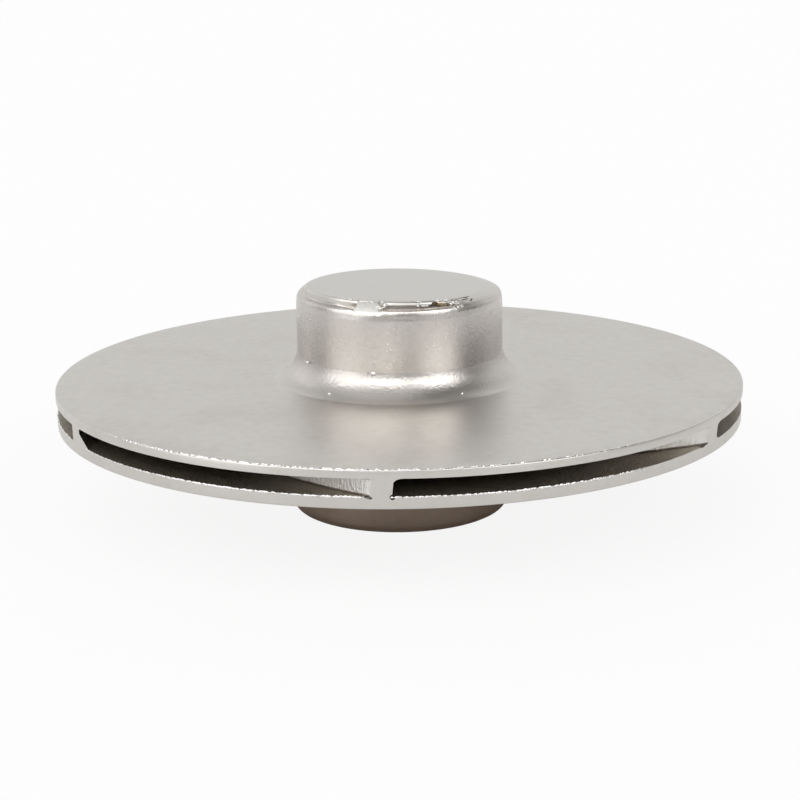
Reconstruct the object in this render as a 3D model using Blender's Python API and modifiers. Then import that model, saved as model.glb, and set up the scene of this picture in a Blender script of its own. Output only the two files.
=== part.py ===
"""Closed impeller of a centrifugal pump, as it comes from the foundry.

Metres, +Z up. The origin is the centre of the suction ring's foot, on which the casting stands, and the
shaft axis is Z with the hub on top. The metal is one casting: each form of it that has a name is an object
of its own, and neighbours keep a seam between them.
"""

import math

import bmesh
import bpy

MM = 0.001

# Driving dimensions
DISC_RADIUS = 105.0 * MM
FRONT_RADIUS = 104.7 * MM
VANE_COUNT = 6
LIP_UNDERSIDE = 30.4 * MM
FRONT_THICKNESS = 3.5 * MM
PASSAGE_HEIGHT = 5.0 * MM
BACK_THICKNESS = 2.4 * MM
SEAM = 0.3 * MM
EDGE = 0.4 * MM

# Heights that follow from them
LIP_TOP = LIP_UNDERSIDE + FRONT_THICKNESS
BACK_INNER_FACE = LIP_TOP + PASSAGE_HEIGHT
DISC_TOP = BACK_INNER_FACE + BACK_THICKNESS

# Hub, its flare on the disc, and the sawn stub of the casting gate on its end
HUB_RADIUS = 31.6 * MM
HUB_DRAFT = 0.2 * MM
HUB_RIM_HEIGHT = 26.2 * MM
HUB_RIM_ROUND = 1.2 * MM
FLARE_HEIGHT = 7.75 * MM
FLARE_TOP_RADIUS = 31.8 * MM
FLARE_ROUND = 9.05 * MM
FLARE_TOP_TURN = 6.6
STUB_RADIUS = 28.1 * MM
STUB_HEIGHT = 28.2 * MM
STUB_FALL_X = math.radians(-1.0)
STUB_FALL_Y = math.radians(-0.5)
SAW_BLOCK = 10.0 * MM
GROOVE_RADIUS = 29.9 * MM
GROOVE_DEPTH = 0.7 * MM

# Suction side
RING_RADIUS = 33.4 * MM
EYE_RADIUS = 26.4 * MM
RING_EDGE = 0.5 * MM
RING_FOOT_ROUND = 2.4 * MM
RING_HEIGHT = 17.0 * MM
THROAT_RADIUS = 40.0 * MM
PASSAGE_GAIN = 17.0 * MM
NOSE_RADIUS = 19.0 * MM
NOSE_TIP_RADIUS = 15.5 * MM
NOSE_LENGTH = 14.0 * MM
NOSE_ROUND = 3.0 * MM

# Vanes: angles from the tangent, and the plan angle of the first one's outer end
VANE_THICKNESS = 3.0 * MM
VANE_NOSE_THICKNESS = 2.2 * MM
VANE_OUTER_RADIUS = 104.1 * MM
VANE_INNER_RADIUS = 34.0 * MM
VANE_OUTER_ANGLE = math.radians(31.0)
VANE_INNER_ANGLE = math.radians(23.0)
FIRST_VANE_AT = math.radians(-93.0)

TURNED_STEPS = 72
VANE_STATIONS = 22
MERGE = 0.00001
SMOOTH_ANGLE = math.radians(30.0)

CAST_STEEL = (0.62, 0.61, 0.59)
GROUND_STEEL = (0.60, 0.60, 0.58)
FLOW_SKIN = (0.30, 0.28, 0.25)


def clear_scene():
    for obj in list(bpy.data.objects):
        bpy.data.objects.remove(obj)


def make_collection(name):
    collection = bpy.data.collections.new(name)
    bpy.context.scene.collection.children.link(collection)
    return collection


def make_material(name, colour, roughness, metallic=1.0):
    material = bpy.data.materials.new(name)
    material.use_nodes = True
    shader = material.node_tree.nodes["Principled BSDF"]
    shader.inputs["Base Color"].default_value = (*colour, 1.0)
    shader.inputs["Roughness"].default_value = roughness
    shader.inputs["Metallic"].default_value = metallic
    return material


def arc(centre, radius, start_deg, end_deg, pieces):
    """Points (r, z) along an arc about centre."""
    points = []
    for i in range(pieces + 1):
        angle = math.radians(start_deg + (end_deg - start_deg) * i / pieces)
        points.append((centre[0] + radius * math.cos(angle), centre[1] + radius * math.sin(angle)))
    return points


def turned(name, profile, material, collection, closed):
    """Turns a profile of (r, z) points about Z. It runs down the outer side."""
    mesh = bpy.data.meshes.new(name)
    edges = [(i, i + 1) for i in range(len(profile) - 1)]
    if closed:
        edges.append((len(profile) - 1, 0))
    mesh.from_pydata([(r, 0.0, z) for r, z in profile], edges, [])
    obj = bpy.data.objects.new(name, mesh)
    collection.objects.link(obj)
    screw = obj.modifiers.new("turn", "SCREW")
    screw.axis = "Z"
    screw.steps = TURNED_STEPS
    screw.render_steps = TURNED_STEPS
    screw.use_merge_vertices = True
    screw.merge_threshold = MERGE
    screw.use_smooth_shade = True
    mesh.materials.append(material)
    return obj


def front_face_height(radius):
    """Height of the front shroud's inner face: level at the rim and falling towards the eye."""
    inward = (FRONT_RADIUS - radius) / FRONT_RADIUS
    return LIP_TOP - PASSAGE_GAIN * inward * inward


def front_face_points(outer, inner, pieces):
    """Points (r, z) of the front shroud's inner face, from the outer radius in."""
    radii = [outer + (inner - outer) * i / pieces for i in range(pieces + 1)]
    return [(r, front_face_height(r)) for r in radii]


def back_shroud(material, collection):
    """The large flat disc, with the concave flare that carries the hub and meets the disc at an angle."""
    top = DISC_TOP
    flare_top = top + FLARE_HEIGHT - SEAM
    start = math.radians(FLARE_TOP_TURN)
    centre = (FLARE_TOP_RADIUS + FLARE_ROUND * math.cos(start), flare_top + FLARE_ROUND * math.sin(start))
    end_deg = 180 + math.degrees(math.asin((centre[1] - top) / FLARE_ROUND))
    profile = [
        (0.0, flare_top),
        *arc(centre, FLARE_ROUND, 180 + FLARE_TOP_TURN, end_deg, 6),
        (DISC_RADIUS - EDGE, top),
        (DISC_RADIUS, top - EDGE),
        (DISC_RADIUS, BACK_INNER_FACE),
        (0.0, BACK_INNER_FACE),
    ]
    return turned("back_shroud", profile, material, collection, closed=False)


def hub(material, collection):
    """The solid boss above the flare, with a rounded rim and a shallow groove inside it."""
    foot = DISC_TOP + FLARE_HEIGHT
    rim = DISC_TOP + HUB_RIM_HEIGHT
    top_radius = HUB_RADIUS - HUB_DRAFT
    round_centre = (top_radius - HUB_RIM_ROUND, rim - HUB_RIM_ROUND)
    profile = [
        (0.0, rim - GROOVE_DEPTH),
        (GROOVE_RADIUS - GROOVE_DEPTH, rim - GROOVE_DEPTH),
        (GROOVE_RADIUS, rim),
        *arc(round_centre, HUB_RIM_ROUND, 90, 0, 3),
        (HUB_RADIUS, foot),
        (0.0, foot),
    ]
    return turned("hub", profile, material, collection, closed=False)


def gate_stub(material, collection, cutters):
    """What the saw left of the casting gate: a low round pad whose top isn't quite square to the axis."""
    foot = DISC_TOP + HUB_RIM_HEIGHT - GROOVE_DEPTH + SEAM
    overlong = DISC_TOP + STUB_HEIGHT + 3 * MM
    profile = [(0.0, overlong), (STUB_RADIUS, overlong), (STUB_RADIUS + 0.3 * MM, foot), (0.0, foot)]
    stub = turned("gate_stub", profile, material, collection, closed=False)

    mesh = bpy.data.meshes.new("saw_cut")
    work = bmesh.new()
    bmesh.ops.create_cube(work, size=1.0)
    bmesh.ops.scale(work, verts=work.verts, vec=(3 * STUB_RADIUS, 3 * STUB_RADIUS, SAW_BLOCK))
    bmesh.ops.translate(work, verts=work.verts, vec=(0.0, 0.0, SAW_BLOCK / 2))
    work.to_mesh(mesh)
    work.free()
    saw = bpy.data.objects.new("saw_cut", mesh)
    saw.location = (0.0, 0.0, DISC_TOP + STUB_HEIGHT)
    saw.rotation_euler = (STUB_FALL_Y, -STUB_FALL_X, 0.0)
    cutters.objects.link(saw)
    hide_cutter(saw)

    cut = stub.modifiers.new("sawn", "BOOLEAN")
    cut.operation = "DIFFERENCE"
    cut.solver = "EXACT"
    cut.object = saw
    return stub


def hub_nose(material, collection):
    """The hub's inner end, which the flow meets in the eye."""
    root = BACK_INNER_FACE - SEAM
    tip = root - NOSE_LENGTH
    round_centre = (NOSE_TIP_RADIUS - NOSE_ROUND, tip + NOSE_ROUND)
    profile = [
        (0.0, root),
        (NOSE_RADIUS + 4 * MM, root),
        (NOSE_RADIUS + 1 * MM, root - 1.6 * MM),
        (NOSE_RADIUS - 0.8 * MM, root - 5 * MM),
        *arc(round_centre, NOSE_ROUND, 0, -90, 3),
        (0.0, tip),
    ]
    return turned("hub_nose", profile, material, collection, closed=False)


def front_shroud(material, collection):
    """The dished lower disc: level at its lip, and turned down into the throat over the eye."""
    throat_foot = RING_HEIGHT
    inner_top = (THROAT_RADIUS, front_face_height(THROAT_RADIUS))
    drop = inner_top[1] - throat_foot
    throat = []
    throat_pieces = 4
    for i in range(1, throat_pieces + 1):
        turn = math.pi / 2 * i / throat_pieces
        throat.append(
            (
                THROAT_RADIUS - (THROAT_RADIUS - EYE_RADIUS) * math.sin(turn),
                inner_top[1] - drop * (1 - math.cos(turn)),
            )
        )
    underside = [(r, z - FRONT_THICKNESS) for r, z in front_face_points(FRONT_RADIUS, THROAT_RADIUS + 2 * MM, 5)]
    neck_round = [
        (RING_RADIUS + 4.2 * MM, underside[-1][1] - 1.6 * MM),
        (RING_RADIUS + 1.2 * MM, underside[-1][1] - 4.0 * MM),
        (RING_RADIUS, throat_foot + 1.0 * MM),
        (RING_RADIUS, throat_foot),
    ]
    face = front_face_points(FRONT_RADIUS, THROAT_RADIUS, 6)
    profile = [*underside, *neck_round, *reversed(throat), *reversed(face)]
    return turned("front_shroud", profile, material, collection, closed=True)


def suction_ring(material, collection):
    """The neck that runs in the wear ring, and the foot on which the casting stands."""
    top = RING_HEIGHT - SEAM
    profile = [
        (EYE_RADIUS, top),
        (RING_RADIUS, top),
        *arc((RING_RADIUS - RING_FOOT_ROUND, RING_FOOT_ROUND), RING_FOOT_ROUND, 0, -90, 4),
        (EYE_RADIUS + RING_EDGE, 0.0),
        (EYE_RADIUS, RING_EDGE),
    ]
    return turned("suction_ring", profile, material, collection, closed=True)


def vane_angle(radius):
    """The vane's angle from the tangent at a radius."""
    share = (radius - VANE_INNER_RADIUS) / (VANE_OUTER_RADIUS - VANE_INNER_RADIUS)
    return VANE_INNER_ANGLE + (VANE_OUTER_ANGLE - VANE_INNER_ANGLE) * share


def vane_centreline():
    """Stations (radius, plan angle, thickness) from the outer end in. Going in, the vane turns clockwise."""
    fine = 40
    stations = []
    radius = VANE_OUTER_RADIUS
    plan = 0.0
    step = (VANE_OUTER_RADIUS - VANE_INNER_RADIUS) / (VANE_STATIONS * fine)
    for i in range(VANE_STATIONS * fine + 1):
        if i % fine == 0:
            share = (VANE_OUTER_RADIUS - radius) / (VANE_OUTER_RADIUS - VANE_INNER_RADIUS)
            thickness = VANE_THICKNESS + (VANE_NOSE_THICKNESS - VANE_THICKNESS) * share
            stations.append((radius, plan, thickness))
        middle = radius - step / 2
        plan -= step / (middle * math.tan(vane_angle(middle)))
        radius -= step
    return stations


def vane_outline():
    """The vane's plan outline: both sides of its centreline, an end on the rim's circle and a round nose."""
    outer_side = []
    inner_side = []
    stations = vane_centreline()
    for radius, plan, thickness in stations:
        lean = vane_angle(radius)
        # Unit vector out of the vane's outer side, between the radius and the tangent
        out_r = math.cos(lean)
        out_t = -math.sin(lean)
        for side, sign in ((outer_side, 1), (inner_side, -1)):
            r = radius + sign * out_r * thickness / 2
            t = sign * out_t * thickness / 2
            distance = math.hypot(r, t)
            angle = plan + math.atan2(t, r)
            side.append((distance, angle))
    outer_side = trimmed_to_rim(outer_side)
    inner_side = trimmed_to_rim(inner_side)
    nose_radius, nose_plan, nose_thickness = stations[-1]
    nose = (nose_radius - math.sin(vane_angle(nose_radius)) * nose_thickness / 2, nose_plan
            - math.cos(vane_angle(nose_radius)) * nose_thickness / 2 / nose_radius)
    polar = [*outer_side, nose, *reversed(inner_side)]
    return [(r * math.cos(a), r * math.sin(a)) for r, a in polar]


def trimmed_to_rim(side):
    """Ends one side of the vane exactly on the rim's circle."""
    first, second = side[0], side[1]
    slope = (first[1] - second[1]) / (first[0] - second[0])
    on_rim = (VANE_OUTER_RADIUS, second[1] + slope * (VANE_OUTER_RADIUS - second[0]))
    return [on_rim, *side[1:]]


def passage_floor_cutter(cutters):
    """Everything below the passages: the front shroud's inner face raised by a seam."""
    low = LIP_UNDERSIDE - 20 * MM
    outer = DISC_RADIUS + 10 * MM
    face = [(outer, LIP_TOP + SEAM), *[(r, z + SEAM) for r, z in front_face_points(FRONT_RADIUS, 25 * MM, 8)]]
    profile = [(0.0, face[-1][1]), *reversed(face), (outer, low), (0.0, low)]
    cutter = turned("passage_floor", profile, None, cutters, closed=False)
    hide_cutter(cutter)
    return cutter


def hide_cutter(obj):
    obj.hide_render = True
    obj.display_type = "WIRE"


def vane_mesh(outline):
    """The vane as a straight prism, made from a filled 2D curve and closed by welding its caps."""
    floor = front_face_height(VANE_INNER_RADIUS) - 4 * MM
    roof = BACK_INNER_FACE - SEAM
    curve = bpy.data.curves.new("vane_outline", "CURVE")
    curve.dimensions = "2D"
    curve.fill_mode = "BOTH"
    curve.extrude = (roof - floor) / 2
    spline = curve.splines.new("POLY")
    spline.points.add(len(outline) - 1)
    for point, (x, y) in zip(spline.points, outline):
        point.co = (x, y, 0.0, 1.0)
    spline.use_cyclic_u = True
    obj = bpy.data.objects.new("vane_outline", curve)
    obj.location.z = (roof + floor) / 2
    bpy.context.scene.collection.objects.link(obj)
    bpy.context.view_layer.update()
    graph = bpy.context.evaluated_depsgraph_get()
    mesh = bpy.data.meshes.new_from_object(obj.evaluated_get(graph))
    mesh.transform(obj.matrix_world)
    bpy.data.objects.remove(obj)
    work = bmesh.new()
    work.from_mesh(mesh)
    bmesh.ops.remove_doubles(work, verts=work.verts, dist=MERGE)
    bmesh.ops.recalc_face_normals(work, faces=work.faces)
    work.to_mesh(mesh)
    work.free()
    return mesh


def vanes(material, collection, cutters):
    """The vanes, alike and evenly spaced, each cut to the front shroud's inner face."""
    mesh = vane_mesh(vane_outline())
    mesh.name = "vane"
    mesh.materials.append(material)
    floor = passage_floor_cutter(cutters)
    made = []
    for i in range(VANE_COUNT):
        vane = bpy.data.objects.new(f"vane_{i + 1}", mesh)
        vane.rotation_euler.z = FIRST_VANE_AT + math.tau * i / VANE_COUNT
        collection.objects.link(vane)
        cut = vane.modifiers.new("floor", "BOOLEAN")
        cut.operation = "DIFFERENCE"
        cut.solver = "EXACT"
        cut.object = floor
        made.append(vane)
    return made


def main():
    clear_scene()
    casting = make_collection("impeller")
    cutters = make_collection("cutters")
    cast = make_material("cast_steel", CAST_STEEL, 0.38)
    ground = make_material("ground_steel", GROUND_STEEL, 0.45)
    flow = make_material("flow_skin", FLOW_SKIN, 0.55)
    back_shroud(cast, casting)
    hub(cast, casting)
    gate_stub(ground, casting, cutters)
    hub_nose(flow, casting)
    front_shroud(cast, casting)
    suction_ring(cast, casting)
    vanes(flow, casting, cutters)


main()
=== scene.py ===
"""Raw cast closed impeller of a centrifugal pump, hub up, as it comes from the foundry.

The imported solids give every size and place. The real object is one casting, so the wheel with its
shrouds, vanes and suction ring is made here as one fused mesh, and so is the hub with its flare and the
sawn gate stub. Burrs, torn metal and beads are small pieces on them, and chips are cut into the wheel.
"""

import logging
import math
import random
from collections.abc import Callable, Sequence
from dataclasses import dataclass, field
from enum import Enum

import bmesh
import bpy
from mathutils import Matrix, Vector, noise


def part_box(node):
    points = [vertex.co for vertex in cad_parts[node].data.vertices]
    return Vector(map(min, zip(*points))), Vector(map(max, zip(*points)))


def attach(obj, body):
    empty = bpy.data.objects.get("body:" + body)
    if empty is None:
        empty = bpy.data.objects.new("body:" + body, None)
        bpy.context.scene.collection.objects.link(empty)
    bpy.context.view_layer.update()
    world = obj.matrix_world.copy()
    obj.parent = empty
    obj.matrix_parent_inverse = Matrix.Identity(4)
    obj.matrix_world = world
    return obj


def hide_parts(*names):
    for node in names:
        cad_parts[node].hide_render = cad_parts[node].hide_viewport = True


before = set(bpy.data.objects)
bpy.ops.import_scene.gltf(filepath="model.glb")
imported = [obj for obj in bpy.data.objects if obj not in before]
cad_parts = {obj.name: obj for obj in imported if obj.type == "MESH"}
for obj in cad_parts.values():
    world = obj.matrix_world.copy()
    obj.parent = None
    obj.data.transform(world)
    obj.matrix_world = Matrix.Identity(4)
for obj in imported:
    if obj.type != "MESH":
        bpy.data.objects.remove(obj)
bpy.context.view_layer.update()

LOG = logging.getLogger("impeller")
MM = 0.001
BODY = "root"
VANES = 6
# Plan angle of the side that faces the camera
FRONT = math.radians(-90.0)
MERGE_DISTANCE = 0.0005 * MM

Colour = tuple[float, float, float]
Point2 = tuple[float, float]


class RecordSlot(Enum):
    """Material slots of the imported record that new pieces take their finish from."""

    CAST = "cast_steel"
    GROUND = "ground_steel"


class Operation(Enum):
    """Math node operations that the shader expressions use."""

    ADD = "ADD"
    SUBTRACT = "SUBTRACT"
    MULTIPLY = "MULTIPLY"
    MINIMUM = "MINIMUM"


class WheelFinish(Enum):
    """The wheel's finishes, by their index on its mesh."""

    OUTSIDE = 0
    PASSAGE = 1
    UNDERSIDE = 2


class TearFinish(Enum):
    """The torn metal's finishes, by their index on its mesh: bright metal, painted shade and rust."""

    METAL = 0
    SLAG = 1
    RUST = 2


class Signal:
    """A number that varies over a surface. Arithmetic on it adds Math nodes."""

    def __init__(self, bench: "Bench", socket: bpy.types.NodeSocket) -> None:
        """Wraps an output socket.

        Args:
            bench: The node tree's maker.
            socket: The output socket that carries the number.
        """
        self.bench = bench
        self.socket = socket

    def _math(self, operation: Operation, first: object, second: object) -> "Signal":
        """Adds a Math node and returns its result."""
        made = self.bench.node("ShaderNodeMath", {"operation": operation.value}, {0: first, 1: second})
        return Signal(self.bench, made.outputs[0])

    def __add__(self, other: object) -> "Signal":
        """Sum."""
        return self._math(Operation.ADD, self, other)

    __radd__ = __add__

    def __sub__(self, other: object) -> "Signal":
        """Difference."""
        return self._math(Operation.SUBTRACT, self, other)

    def __rsub__(self, other: object) -> "Signal":
        """Difference from a plain number."""
        return self._math(Operation.SUBTRACT, other, self)

    def __mul__(self, other: object) -> "Signal":
        """Product."""
        return self._math(Operation.MULTIPLY, self, other)

    __rmul__ = __mul__

    def at_most(self, other: object) -> "Signal":
        """The smaller of the two."""
        return self._math(Operation.MINIMUM, self, other)

    def rise(self, low: float, high: float) -> "Signal":
        """A smooth step from 0 at low to 1 at high, or falling where low is the larger."""
        settings = {"interpolation_type": "SMOOTHSTEP", "clamp": True}
        values = {"Value": self, "From Min": low, "From Max": high, "To Min": 0.0, "To Max": 1.0}
        if low > high:
            values.update({"From Min": high, "From Max": low, "To Min": 1.0, "To Max": 0.0})
        made = self.bench.node("ShaderNodeMapRange", settings, values)
        return Signal(self.bench, made.outputs["Result"])


class Bench:
    """Makes the nodes of one finish, or of the sky."""

    def __init__(self, owner: bpy.types.Material | bpy.types.World, shader: str) -> None:
        """Starts the nodes.

        Args:
            owner: The material or world that has them.
            shader: The name of the shader node that it starts with.
        """
        owner.use_nodes = True
        self.tree = owner.node_tree
        self.shader = self.tree.nodes[shader]
        self.owner = owner
        self._millimetres: bpy.types.NodeSocket | None = None

    @classmethod
    def for_finish(cls, name: str) -> "Bench":
        """Starts a material with a Principled BSDF."""
        return cls(bpy.data.materials.new(name), "Principled BSDF")

    @classmethod
    def for_sky(cls, name: str) -> "Bench":
        """Starts a world with a Background shader."""
        return cls(bpy.data.worlds.new(name), "Background")

    def node(self, kind: str, settings: dict[str, object], sockets: dict[object, object]) -> bpy.types.Node:
        """Adds any node.

        Args:
            kind: The node's type.
            settings: Its properties, which are set first.
            sockets: Values, signals or output sockets by input name or number.

        Returns:
            The new node.
        """
        made = self.tree.nodes.new(kind)
        for key, value in settings.items():
            setattr(made, key, value)
        for key, value in sockets.items():
            self.feed(made.inputs[key], value)
        return made

    def feed(self, target: bpy.types.NodeSocket, value: object) -> None:
        """Links a signal or socket to an input, or sets a plain value on it."""
        if isinstance(value, Signal):
            value = value.socket
        if isinstance(value, bpy.types.NodeSocket):
            self.tree.links.new(value, target)
        else:
            target.default_value = value

    @property
    def millimetres(self) -> bpy.types.NodeSocket:
        """Object coordinates in millimetres."""
        if self._millimetres is None:
            coordinates = self.node("ShaderNodeTexCoord", {}, {})
            scaled = self.node(
                "ShaderNodeVectorMath",
                {"operation": "SCALE"},
                {0: coordinates.outputs["Object"], "Scale": 1.0 / MM},
            )
            self._millimetres = scaled.outputs[0]
        return self._millimetres

    def seen(self) -> Signal:
        """1 where the camera looks straight at the surface, 0 for light on its way."""
        return Signal(self, self.node("ShaderNodeLightPath", {}, {}).outputs["Is Camera Ray"])

    def height(self) -> Signal:
        """Height above the suction ring's foot, in millimetres."""
        parts = self.node("ShaderNodeSeparateXYZ", {}, {0: self.millimetres})
        return Signal(self, parts.outputs["Z"])

    def radius(self) -> Signal:
        """Distance from the shaft axis, in millimetres."""
        flat = self.node(
            "ShaderNodeVectorMath", {"operation": "MULTIPLY"}, {0: self.millimetres, 1: (1.0, 1.0, 0.0)}
        )
        length = self.node("ShaderNodeVectorMath", {"operation": "LENGTH"}, {0: flat.outputs[0]})
        return Signal(self, length.outputs["Value"])

    def attribute(self, name: str) -> Signal:
        """A number that the mesh carries at its points or on its faces."""
        made = self.node("ShaderNodeAttribute", {"attribute_type": "GEOMETRY", "attribute_name": name}, {})
        return Signal(self, made.outputs["Fac"])

    def noise(
        self, wavelength: float, detail: float = 2.0, roughness: float = 0.5, stretch: float = 1.0
    ) -> Signal:
        """Cloudy noise between 0 and 1.

        Args:
            wavelength: The size of its features in millimetres.
            detail: Octaves.
            roughness: How much the finer octaves count.
            stretch: How many times longer the features are along the shaft axis.

        Returns:
            The noise.
        """
        place = self.millimetres
        if stretch != 1.0:
            squeeze = {0: place, 1: (1.0, 1.0, 1.0 / stretch)}
            place = self.node("ShaderNodeVectorMath", {"operation": "MULTIPLY"}, squeeze).outputs[0]
        values = {"Vector": place, "Scale": 1.0 / wavelength, "Detail": detail, "Roughness": roughness}
        return Signal(self, self.node("ShaderNodeTexNoise", {}, values).outputs[0])

    def patches(
        self, size: float, low: float, high: float, detail: float = 3.0, roughness: float = 0.5
    ) -> Signal:
        """Patches with soft edges, 0 between them and 1 within.

        Args:
            size: Their size in millimetres.
            low: Noise level where a patch starts.
            high: Noise level where it is full.
            detail: Octaves.
            roughness: How much the finer octaves count.

        Returns:
            The patches.
        """
        return self.noise(size, detail, roughness).rise(low, high)

    def specks(self, spacing: float, outer: float, inner: float) -> Signal:
        """Scattered round specks.

        Args:
            spacing: Distance between them in millimetres.
            outer: Where a speck starts, as a share of the spacing.
            inner: Where it is full.

        Returns:
            0 between the specks and 1 within.
        """
        values = {"Vector": self.millimetres, "Scale": 1.0 / spacing}
        made = self.node("ShaderNodeTexVoronoi", {"feature": "F1"}, values)
        return Signal(self, made.outputs["Distance"]).rise(outer, inner)

    def mix(self, share: Signal, low: object, high: object) -> bpy.types.NodeSocket:
        """Mixes two colours, each three numbers or a socket, by a share from 0 to 1."""
        ends = [opaque(end) if isinstance(end, tuple) else end for end in (low, high)]
        made = self.node("ShaderNodeMix", {"data_type": "RGBA"}, {0: share, 6: ends[0], 7: ends[1]})
        return made.outputs[2]

    def paint(self, colour: object, metallic: object, roughness: object) -> None:
        """Feeds the shader's colour, share of metal and roughness, each a plain value or not."""
        for name, value in (("Base Color", colour), ("Metallic", metallic), ("Roughness", roughness)):
            self.feed(self.shader.inputs[name], value)

    def bump(self, height: Signal, distance: float) -> None:
        """Feeds a bump of that many millimetres to the shader's normal."""
        made = self.node("ShaderNodeBump", {}, {"Height": height, "Distance": distance * MM, "Strength": 1.0})
        self.feed(self.shader.inputs["Normal"], made.outputs["Normal"])


def opaque(colour: Colour) -> tuple[float, float, float, float]:
    """The colour with an alpha of one."""
    return (*colour, 1.0)


@dataclass(frozen=True)
class CastSkin:
    """Blasted stainless steel as cast: matte, softly mottled, with dark specks and a fine grain.

    Args:
        name: The material's name.
        colour: Base colour.
        shade: Colour of the darker mottling.
        speck: Colour of the specks.
        roughness: Middle roughness.
        grain: Wavelength of the grain, in millimetres.
        grain_height: Height of the grain, in millimetres.
    """

    name: str
    colour: Colour = (0.65, 0.63, 0.595)
    shade: Colour = (0.57, 0.54, 0.50)
    speck: Colour = (0.16, 0.14, 0.12)
    roughness: float = 0.40
    grain: float = 0.55
    grain_height: float = 0.04

    CLOUD_SHARE = 0.45
    MOTTLE_SHARE = 0.25
    GLOSS_SPREAD = 0.06
    WIDE_GRAIN = 3.4
    FINE_SHARE = 0.7
    WIDE_SHARE = 0.6

    def material(self) -> bpy.types.Material:
        """Makes the material."""
        bench = Bench.for_finish(self.name)
        cloud = bench.patches(size=26.0, low=0.42, high=0.72)
        mottle = bench.patches(size=3.2, low=0.35, high=0.8, roughness=0.6)
        tone = bench.mix(cloud * self.CLOUD_SHARE + mottle * self.MOTTLE_SHARE, self.colour, self.shade)
        specks = bench.specks(spacing=9.0, outer=0.045, inner=0.02)
        speckled = bench.patches(size=14.0, low=0.5, high=0.62, detail=1.0)
        tone = bench.mix(specks * speckled, tone, self.speck)
        bench.paint(tone, 1.0, self.roughness + (mottle - 0.5) * self.GLOSS_SPREAD)
        fine = bench.noise(self.grain, roughness=0.55)
        wide = bench.noise(self.grain * self.WIDE_GRAIN, detail=1.0)
        bench.bump(fine * self.FINE_SHARE + wide * self.WIDE_SHARE, self.grain_height)
        return bench.owner


@dataclass(frozen=True)
class HubSkin:
    """The hub's skin: brighter than the disc, with a coarse sparkling grain.

    Args:
        name: The material's name.
        colour: Base colour.
        shade: Colour of the darker mottling.
        flat: Base colour of the sawn top and of the flare's foot.
        torn: Colour of the smear at the gate.
        roughness: Middle roughness.
    """

    name: str = "hub_skin"
    colour: Colour = (0.615, 0.585, 0.555)
    shade: Colour = (0.535, 0.50, 0.46)
    flat: Colour = (0.65, 0.63, 0.595)
    torn: Colour = (0.80, 0.785, 0.76)
    roughness: float = 0.31

    # Millimetres: over the stub's top, over the crease and from the axis
    SAWN_BAND = (-1.4, -0.7)
    FLARE_BAND = (1.5, -0.8)
    FOOT_BAND = (34.5, 38.5)
    CLOUD_SHARE = 0.4
    MOTTLE_SHARE = 0.3
    TORN_SHARE = 0.9
    GLOSS_SPREAD = 0.05
    GLINT = 0.11
    BUMP = 0.078
    # Roughness that the flat parts, the flare and the smear have on top
    MATTE_FLAT = 0.08
    MATTE_FLARE = 0.05
    MATTE_TORN = 0.2
    # How much of the flare's coarse grain the side has, and how much of the side's glints the flare loses
    SIDE_GRAIN = 0.4
    LOST_GLINT = 0.6
    # The pebbles and the finer grain: on the flat parts, and more where it is coarse
    PEBBLES_FLAT = 0.1
    FINE_FLAT = 0.15
    FINE_COARSE = 0.25

    def material(self) -> bpy.types.Material:
        """Makes the material."""
        bench = Bench.for_finish(self.name)
        sizes = HubSizes.from_frame()
        crown = (sizes.disc_top + sizes.stub_height) / MM
        crease = sizes.foot / MM
        height = bench.height()
        sawn = height.rise(crown + self.SAWN_BAND[0], crown + self.SAWN_BAND[1])
        flare = height.rise(crease + self.FLARE_BAND[0], crease + self.FLARE_BAND[1])
        foot = bench.radius().rise(*self.FOOT_BAND)
        torn = bench.attribute("torn")
        cloud = bench.patches(size=11.0, low=0.4, high=0.7)
        mottle = bench.patches(size=1.6, low=0.35, high=0.8, roughness=0.6)
        tone = bench.mix(cloud * self.CLOUD_SHARE + mottle * self.MOTTLE_SHARE, self.colour, self.shade)
        tone = bench.mix((sawn + foot).at_most(1.0), tone, self.flat)
        tone = bench.mix(torn * self.TORN_SHARE, tone, self.torn)
        coarse = (1.0 - sawn) * (1.0 - foot) * (self.SIDE_GRAIN + flare * (1.0 - self.SIDE_GRAIN))
        glint = bench.patches(size=0.8, low=0.55, high=0.7, detail=1.0) * coarse
        glint = glint * (1.0 - flare * self.LOST_GLINT)
        gloss = (mottle - 0.5) * self.GLOSS_SPREAD - glint * self.GLINT
        matte = (sawn + foot) * self.MATTE_FLAT + flare * (1.0 - foot) * self.MATTE_FLARE
        bench.paint(tone, 1.0, self.roughness + matte + torn * self.MATTE_TORN + gloss)
        pebble = bench.noise(0.85, detail=1.0)
        fine = bench.noise(0.42, detail=1.0)
        pebbles = pebble * (self.PEBBLES_FLAT + coarse) + torn * pebble
        bench.bump(pebbles + fine * (self.FINE_FLAT + coarse * self.FINE_COARSE), self.BUMP)
        return bench.owner


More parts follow.
